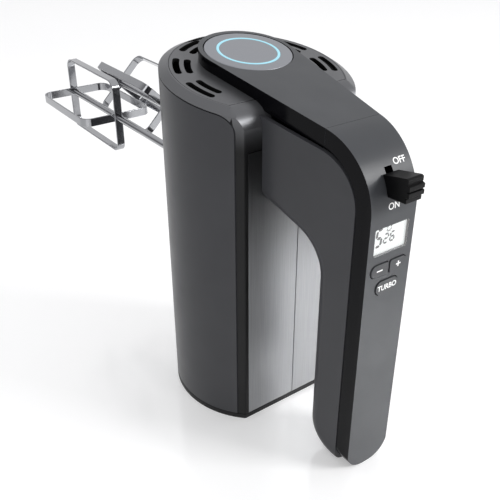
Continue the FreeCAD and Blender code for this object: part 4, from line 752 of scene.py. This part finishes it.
# %% Words and signs
OFF_UP_BEND = math.radians(38.5) * BEND_RADIUS
OFF_ACROSS = 7.9 * MM
ON_UP_BEND = math.radians(7.6) * BEND_RADIUS
ON_ACROSS = -0.4 * MM
key_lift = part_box("turbo_key")[1].x - FRONT + INK
turbo, minus, plus = middle_of("turbo_key"), middle_of("minus_key"), middle_of("plus_key")
printed("word_off", "OFF", 3.1 * MM, OFF_ACROSS, OFF_UP_BEND, INK, "housing")
printed("word_on", "ON", 3.2 * MM, ON_ACROSS, ON_UP_BEND, INK, "housing")
printed("word_turbo", "TURBO", 2.9 * MM, 0.0, turbo.z - BEND_Z, key_lift, "turbo_key", 0.92, 0.035)
printed("sign_minus", "−", 4.0 * MM, minus.y, minus.z - BEND_Z, key_lift, "minus_key", 1.3, 0.03)
printed("sign_plus", "+", 4.2 * MM, plus.y, plus.z - BEND_Z, key_lift, "plus_key", bold=0.03)

# %% [markdown]
# ## The display
# A liquid-crystal display shows its digits as dark bars on a pale lit panel. Each digit is seven
# bars; a bar is a thin six-sided shape, and the whole digit leans a little to the right. Blender's own
# font has no such digits, so the bars are drawn one by one.

# %% Seven-bar digits
BARS = {"0": "abcdef", "2": "abged", "5": "afgcd", "6": "afgedc"}
BAR_PLACE = {"a": (0, 1, 1, 1), "b": (1, 0.5, 1, 1), "c": (1, 0, 1, 0.5), "d": (0, 0, 1, 0),
             "e": (0, 0, 0, 0.5), "f": (0, 0.5, 0, 1), "g": (0, 0.5, 1, 0.5)}

DIGIT_LEAN = 0.12
BAR_GAP = 0.15


def digit_bars(digit, width, height, thick):
    """Points and faces of one digit: each bar is a hexagon along its line, shortened at the ends."""
    points, faces = [], []
    for bar in BARS[digit]:
        x0, y0, x1, y1 = BAR_PLACE[bar]
        start = np.array([x0 * width, y0 * height])
        end = np.array([x1 * width, y1 * height])
        along = (end - start) / np.linalg.norm(end - start)
        across = np.array([-along[1], along[0]]) * thick / 2
        start, end = start + along * thick * BAR_GAP, end - along * thick * BAR_GAP
        tip = along * thick / 2
        ring = [start, start + tip - across, end - tip - across, end, end - tip + across,
                start + tip + across]
        faces.append(tuple(range(len(points), len(points) + 6)))
        points += [(p[0] + DIGIT_LEAN * p[1], p[1]) for p in ring]
    return np.array(points), faces


# %% [markdown]
# Behind the window lies the lit screen, a flat sheet that faces forwards, and the digits stand between
# the two. The gaps are a small part of a millimetre, so that the digits look printed on the screen
# but neither touch the window nor sink into the sheet.

# %% Screen and digits
SCREEN_GAP = 0.10 * MM
DIGIT_GAP = 0.04 * MM
SCREEN_COLUMNS, SCREEN_ROWS = 12, 9


def screen_sheet(name, x, low, high):
    """A grid of points at one x, evenly spaced in y and z between two corners, facing +X."""
    y, z = np.linspace(low.y, high.y, SCREEN_COLUMNS), np.linspace(low.z, high.z, SCREEN_ROWS)
    across, up = np.meshgrid(y, z)
    points = np.stack([np.full(across.shape, x), across, up], axis=-1).reshape(-1, 3)
    faces = grid_faces(SCREEN_ROWS, SCREEN_COLUMNS)[:, ::-1]
    return mesh_piece(name, points, faces, SCREEN, "housing")


def show_digit(name, digit, right_by, up_by, width, height, thick, material):
    """A digit just behind the window, in mm from the window's lower left corner."""
    flat, faces = digit_bars(digit, width * MM, height * MM, thick * MM)
    x = np.full(len(flat), window_low.x - DIGIT_GAP)
    y, z = window_low.y + right_by * MM + flat[:, 0], window_low.z + up_by * MM + flat[:, 1]
    placed = np.stack([x, y, z], axis=-1)
    return mesh_piece(name, placed, faces, material, "housing", smooth=False)


screen_sheet("display_screen", window_low.x - SCREEN_GAP, window_low, window_high)
show_digit("digit_speed", "5", 1.7, 4.3, 3.3, 8.6, 1.45, DIGIT_BLACK)
show_digit("digit_seconds_tens", "2", 6.9, 5.0, 2.6, 4.6, 0.95, DIGIT_BLACK)
show_digit("digit_seconds_ones", "6", 11.0, 5.0, 2.6, 4.6, 0.95, DIGIT_BLACK)
show_digit("digit_minutes", "0", 8.7, 10.9, 2.4, 2.9, 0.7, DIGIT_GREY)

# %% [markdown]
# ## The studio
# A pale floor with a glossy coat gives the soft mirror image under the mixer. It also glows a little by
# itself, so it stays pale even in the mixer's shadow.

# %% Floor
FLOOR_HALF = 6.0
FLOOR_LINES = 5
FLOOR_GLOW = 0.32
COAT_IOR = 2.0
COAT_ROUGHNESS = 0.14
floor_line = np.linspace(-FLOOR_HALF, FLOOR_HALF, FLOOR_LINES)
floor_x, floor_y = np.meshgrid(floor_line, floor_line)
floor_points = np.stack([floor_x, floor_y, np.zeros_like(floor_x)], axis=-1).reshape(-1, 3)
floor_mesh = bpy.data.meshes.new("floor")
floor_faces = [tuple(int(i) for i in quad[::-1]) for quad in grid_faces(FLOOR_LINES, FLOOR_LINES)]
floor_mesh.from_pydata(floor_points.tolist(), [], floor_faces)
floor = bpy.data.objects.new("floor", floor_mesh)
bpy.context.scene.collection.objects.link(floor)
floor_finish, floor_tree, floor_shader = new_finish("floor_white", (0.93, 0.93, 0.93), 0.5)
floor_noise = stretched_noise(floor_tree, 3.0)
two_tone(floor_tree, floor_shader, floor_noise, (0.925, 0.925, 0.925), (0.935, 0.935, 0.935))
floor_shader.inputs["Coat Weight"].default_value = 1.0
floor_shader.inputs["Coat IOR"].default_value = COAT_IOR
floor_shader.inputs["Coat Roughness"].default_value = COAT_ROUGHNESS
floor_shader.inputs["Emission Color"].default_value = (1.0, 1.0, 1.0, 1.0)
floor_shader.inputs["Emission Strength"].default_value = FLOOR_GLOW
floor_mesh.materials.append(floor_finish)
print("floor %.0f m wide" % (2 * FLOOR_HALF))

# %% [markdown]
# The surround is bright overhead and behind the mixer, and dark on the near left. Upright faces and
# chrome then show deep tones with bright edges, while the top and the floor stay light. A ramp on the
# cosine between a ray and the bright side does this without any picture of a studio.

# %% Surround
BRIGHT_SIDE = (-0.35, 0.50, 0.79)
DARK_END = (0.14, 0.14, 0.145, 1.0)
BRIGHT_END = (0.86, 0.86, 0.87, 1.0)
BRIGHT_FROM = 0.6
world = bpy.data.worlds.new("studio")
bpy.context.scene.world = world
world.use_nodes = True
sky = world.node_tree
direction = sky.nodes.new("ShaderNodeTexCoord")
facing = sky.nodes.new("ShaderNodeVectorMath")
facing.operation = "DOT_PRODUCT"
facing.inputs[1].default_value = BRIGHT_SIDE
sky_ramp = sky.nodes.new("ShaderNodeValToRGB")
sky_ramp.color_ramp.elements[0].position = 0.0
sky_ramp.color_ramp.elements[0].color = DARK_END
sky_ramp.color_ramp.elements[1].position = BRIGHT_FROM
sky_ramp.color_ramp.elements[1].color = BRIGHT_END
sky.links.new(direction.outputs["Generated"], facing.inputs[0])
sky.links.new(facing.outputs["Value"], sky_ramp.inputs["Fac"])
sky.links.new(sky_ramp.outputs["Color"], sky.nodes["Background"].inputs["Color"])
sky.nodes["Background"].inputs["Strength"].default_value = 1.0
print("surround: dark %.2f, bright %.2f" % (DARK_END[0], BRIGHT_END[0]))


# %% [markdown]
# Two soft panels add the highlights. A small lamp would make hard dots, and a large one makes long,
# gentle highlights on satin plastic.

# %% Soft panels
def soft_panel(name, position, target, size, power):
    """A square area light of a size in metres and a power in watts, aimed at a target.

    With aim = target - position, the turn about X is acos(-aim z / length), and the turn about Z is
    atan2(aim x, -aim y) + pi.
    """
    light = bpy.data.lights.new(name, "AREA")
    light.shape = "SQUARE"
    light.size = size
    light.energy = power
    lamp = bpy.data.objects.new(name, light)
    bpy.context.scene.collection.objects.link(lamp)
    aim = np.array(target) - np.array(position)
    lamp.location = position
    yaw = math.atan2(aim[0], -aim[1])
    pitch = math.acos(-aim[2] / np.linalg.norm(aim))
    lamp.rotation_euler = (pitch, 0.0, yaw + math.pi)
    print("%s: %.2f m wide, %.0f W, %.2f m away" % (name, size, power, np.linalg.norm(aim)))


soft_panel("key_panel", (1.05, 0.85, 0.85), (0.05, 0.0, 0.1), 0.45, 13.0)
soft_panel("fill_panel", (1.0, -1.1, 0.9), (0.0, 0.0, 0.1), 1.0, 6.0)

# %% [markdown]
# The camera stands close, in front of the handle and to its right, and looks down by 30 degrees. From so
# near, the handle looks large and the beaters look small.

# %% Camera
LENS = 50.0
SENSOR = 36.0
CAMERA_PLACE = (296.3 * MM, -217.9 * MM, 300.9 * MM)
CAMERA_PITCH = math.radians(60.0)
CAMERA_TURN = math.radians(54.3)
NEAREST = 10 * MM
camera_data = bpy.data.cameras.new("camera")
camera_data.lens = LENS
camera_data.sensor_width = SENSOR
camera_data.clip_start = NEAREST
camera = bpy.data.objects.new("camera", camera_data)
camera.location = CAMERA_PLACE
camera.rotation_euler = (CAMERA_PITCH, 0.0, CAMERA_TURN)
bpy.context.scene.collection.objects.link(camera)
bpy.context.scene.camera = camera
bpy.context.scene.view_settings.view_transform = "Standard"
print("camera %.0f mm above the floor" % (CAMERA_PLACE[2] / MM))
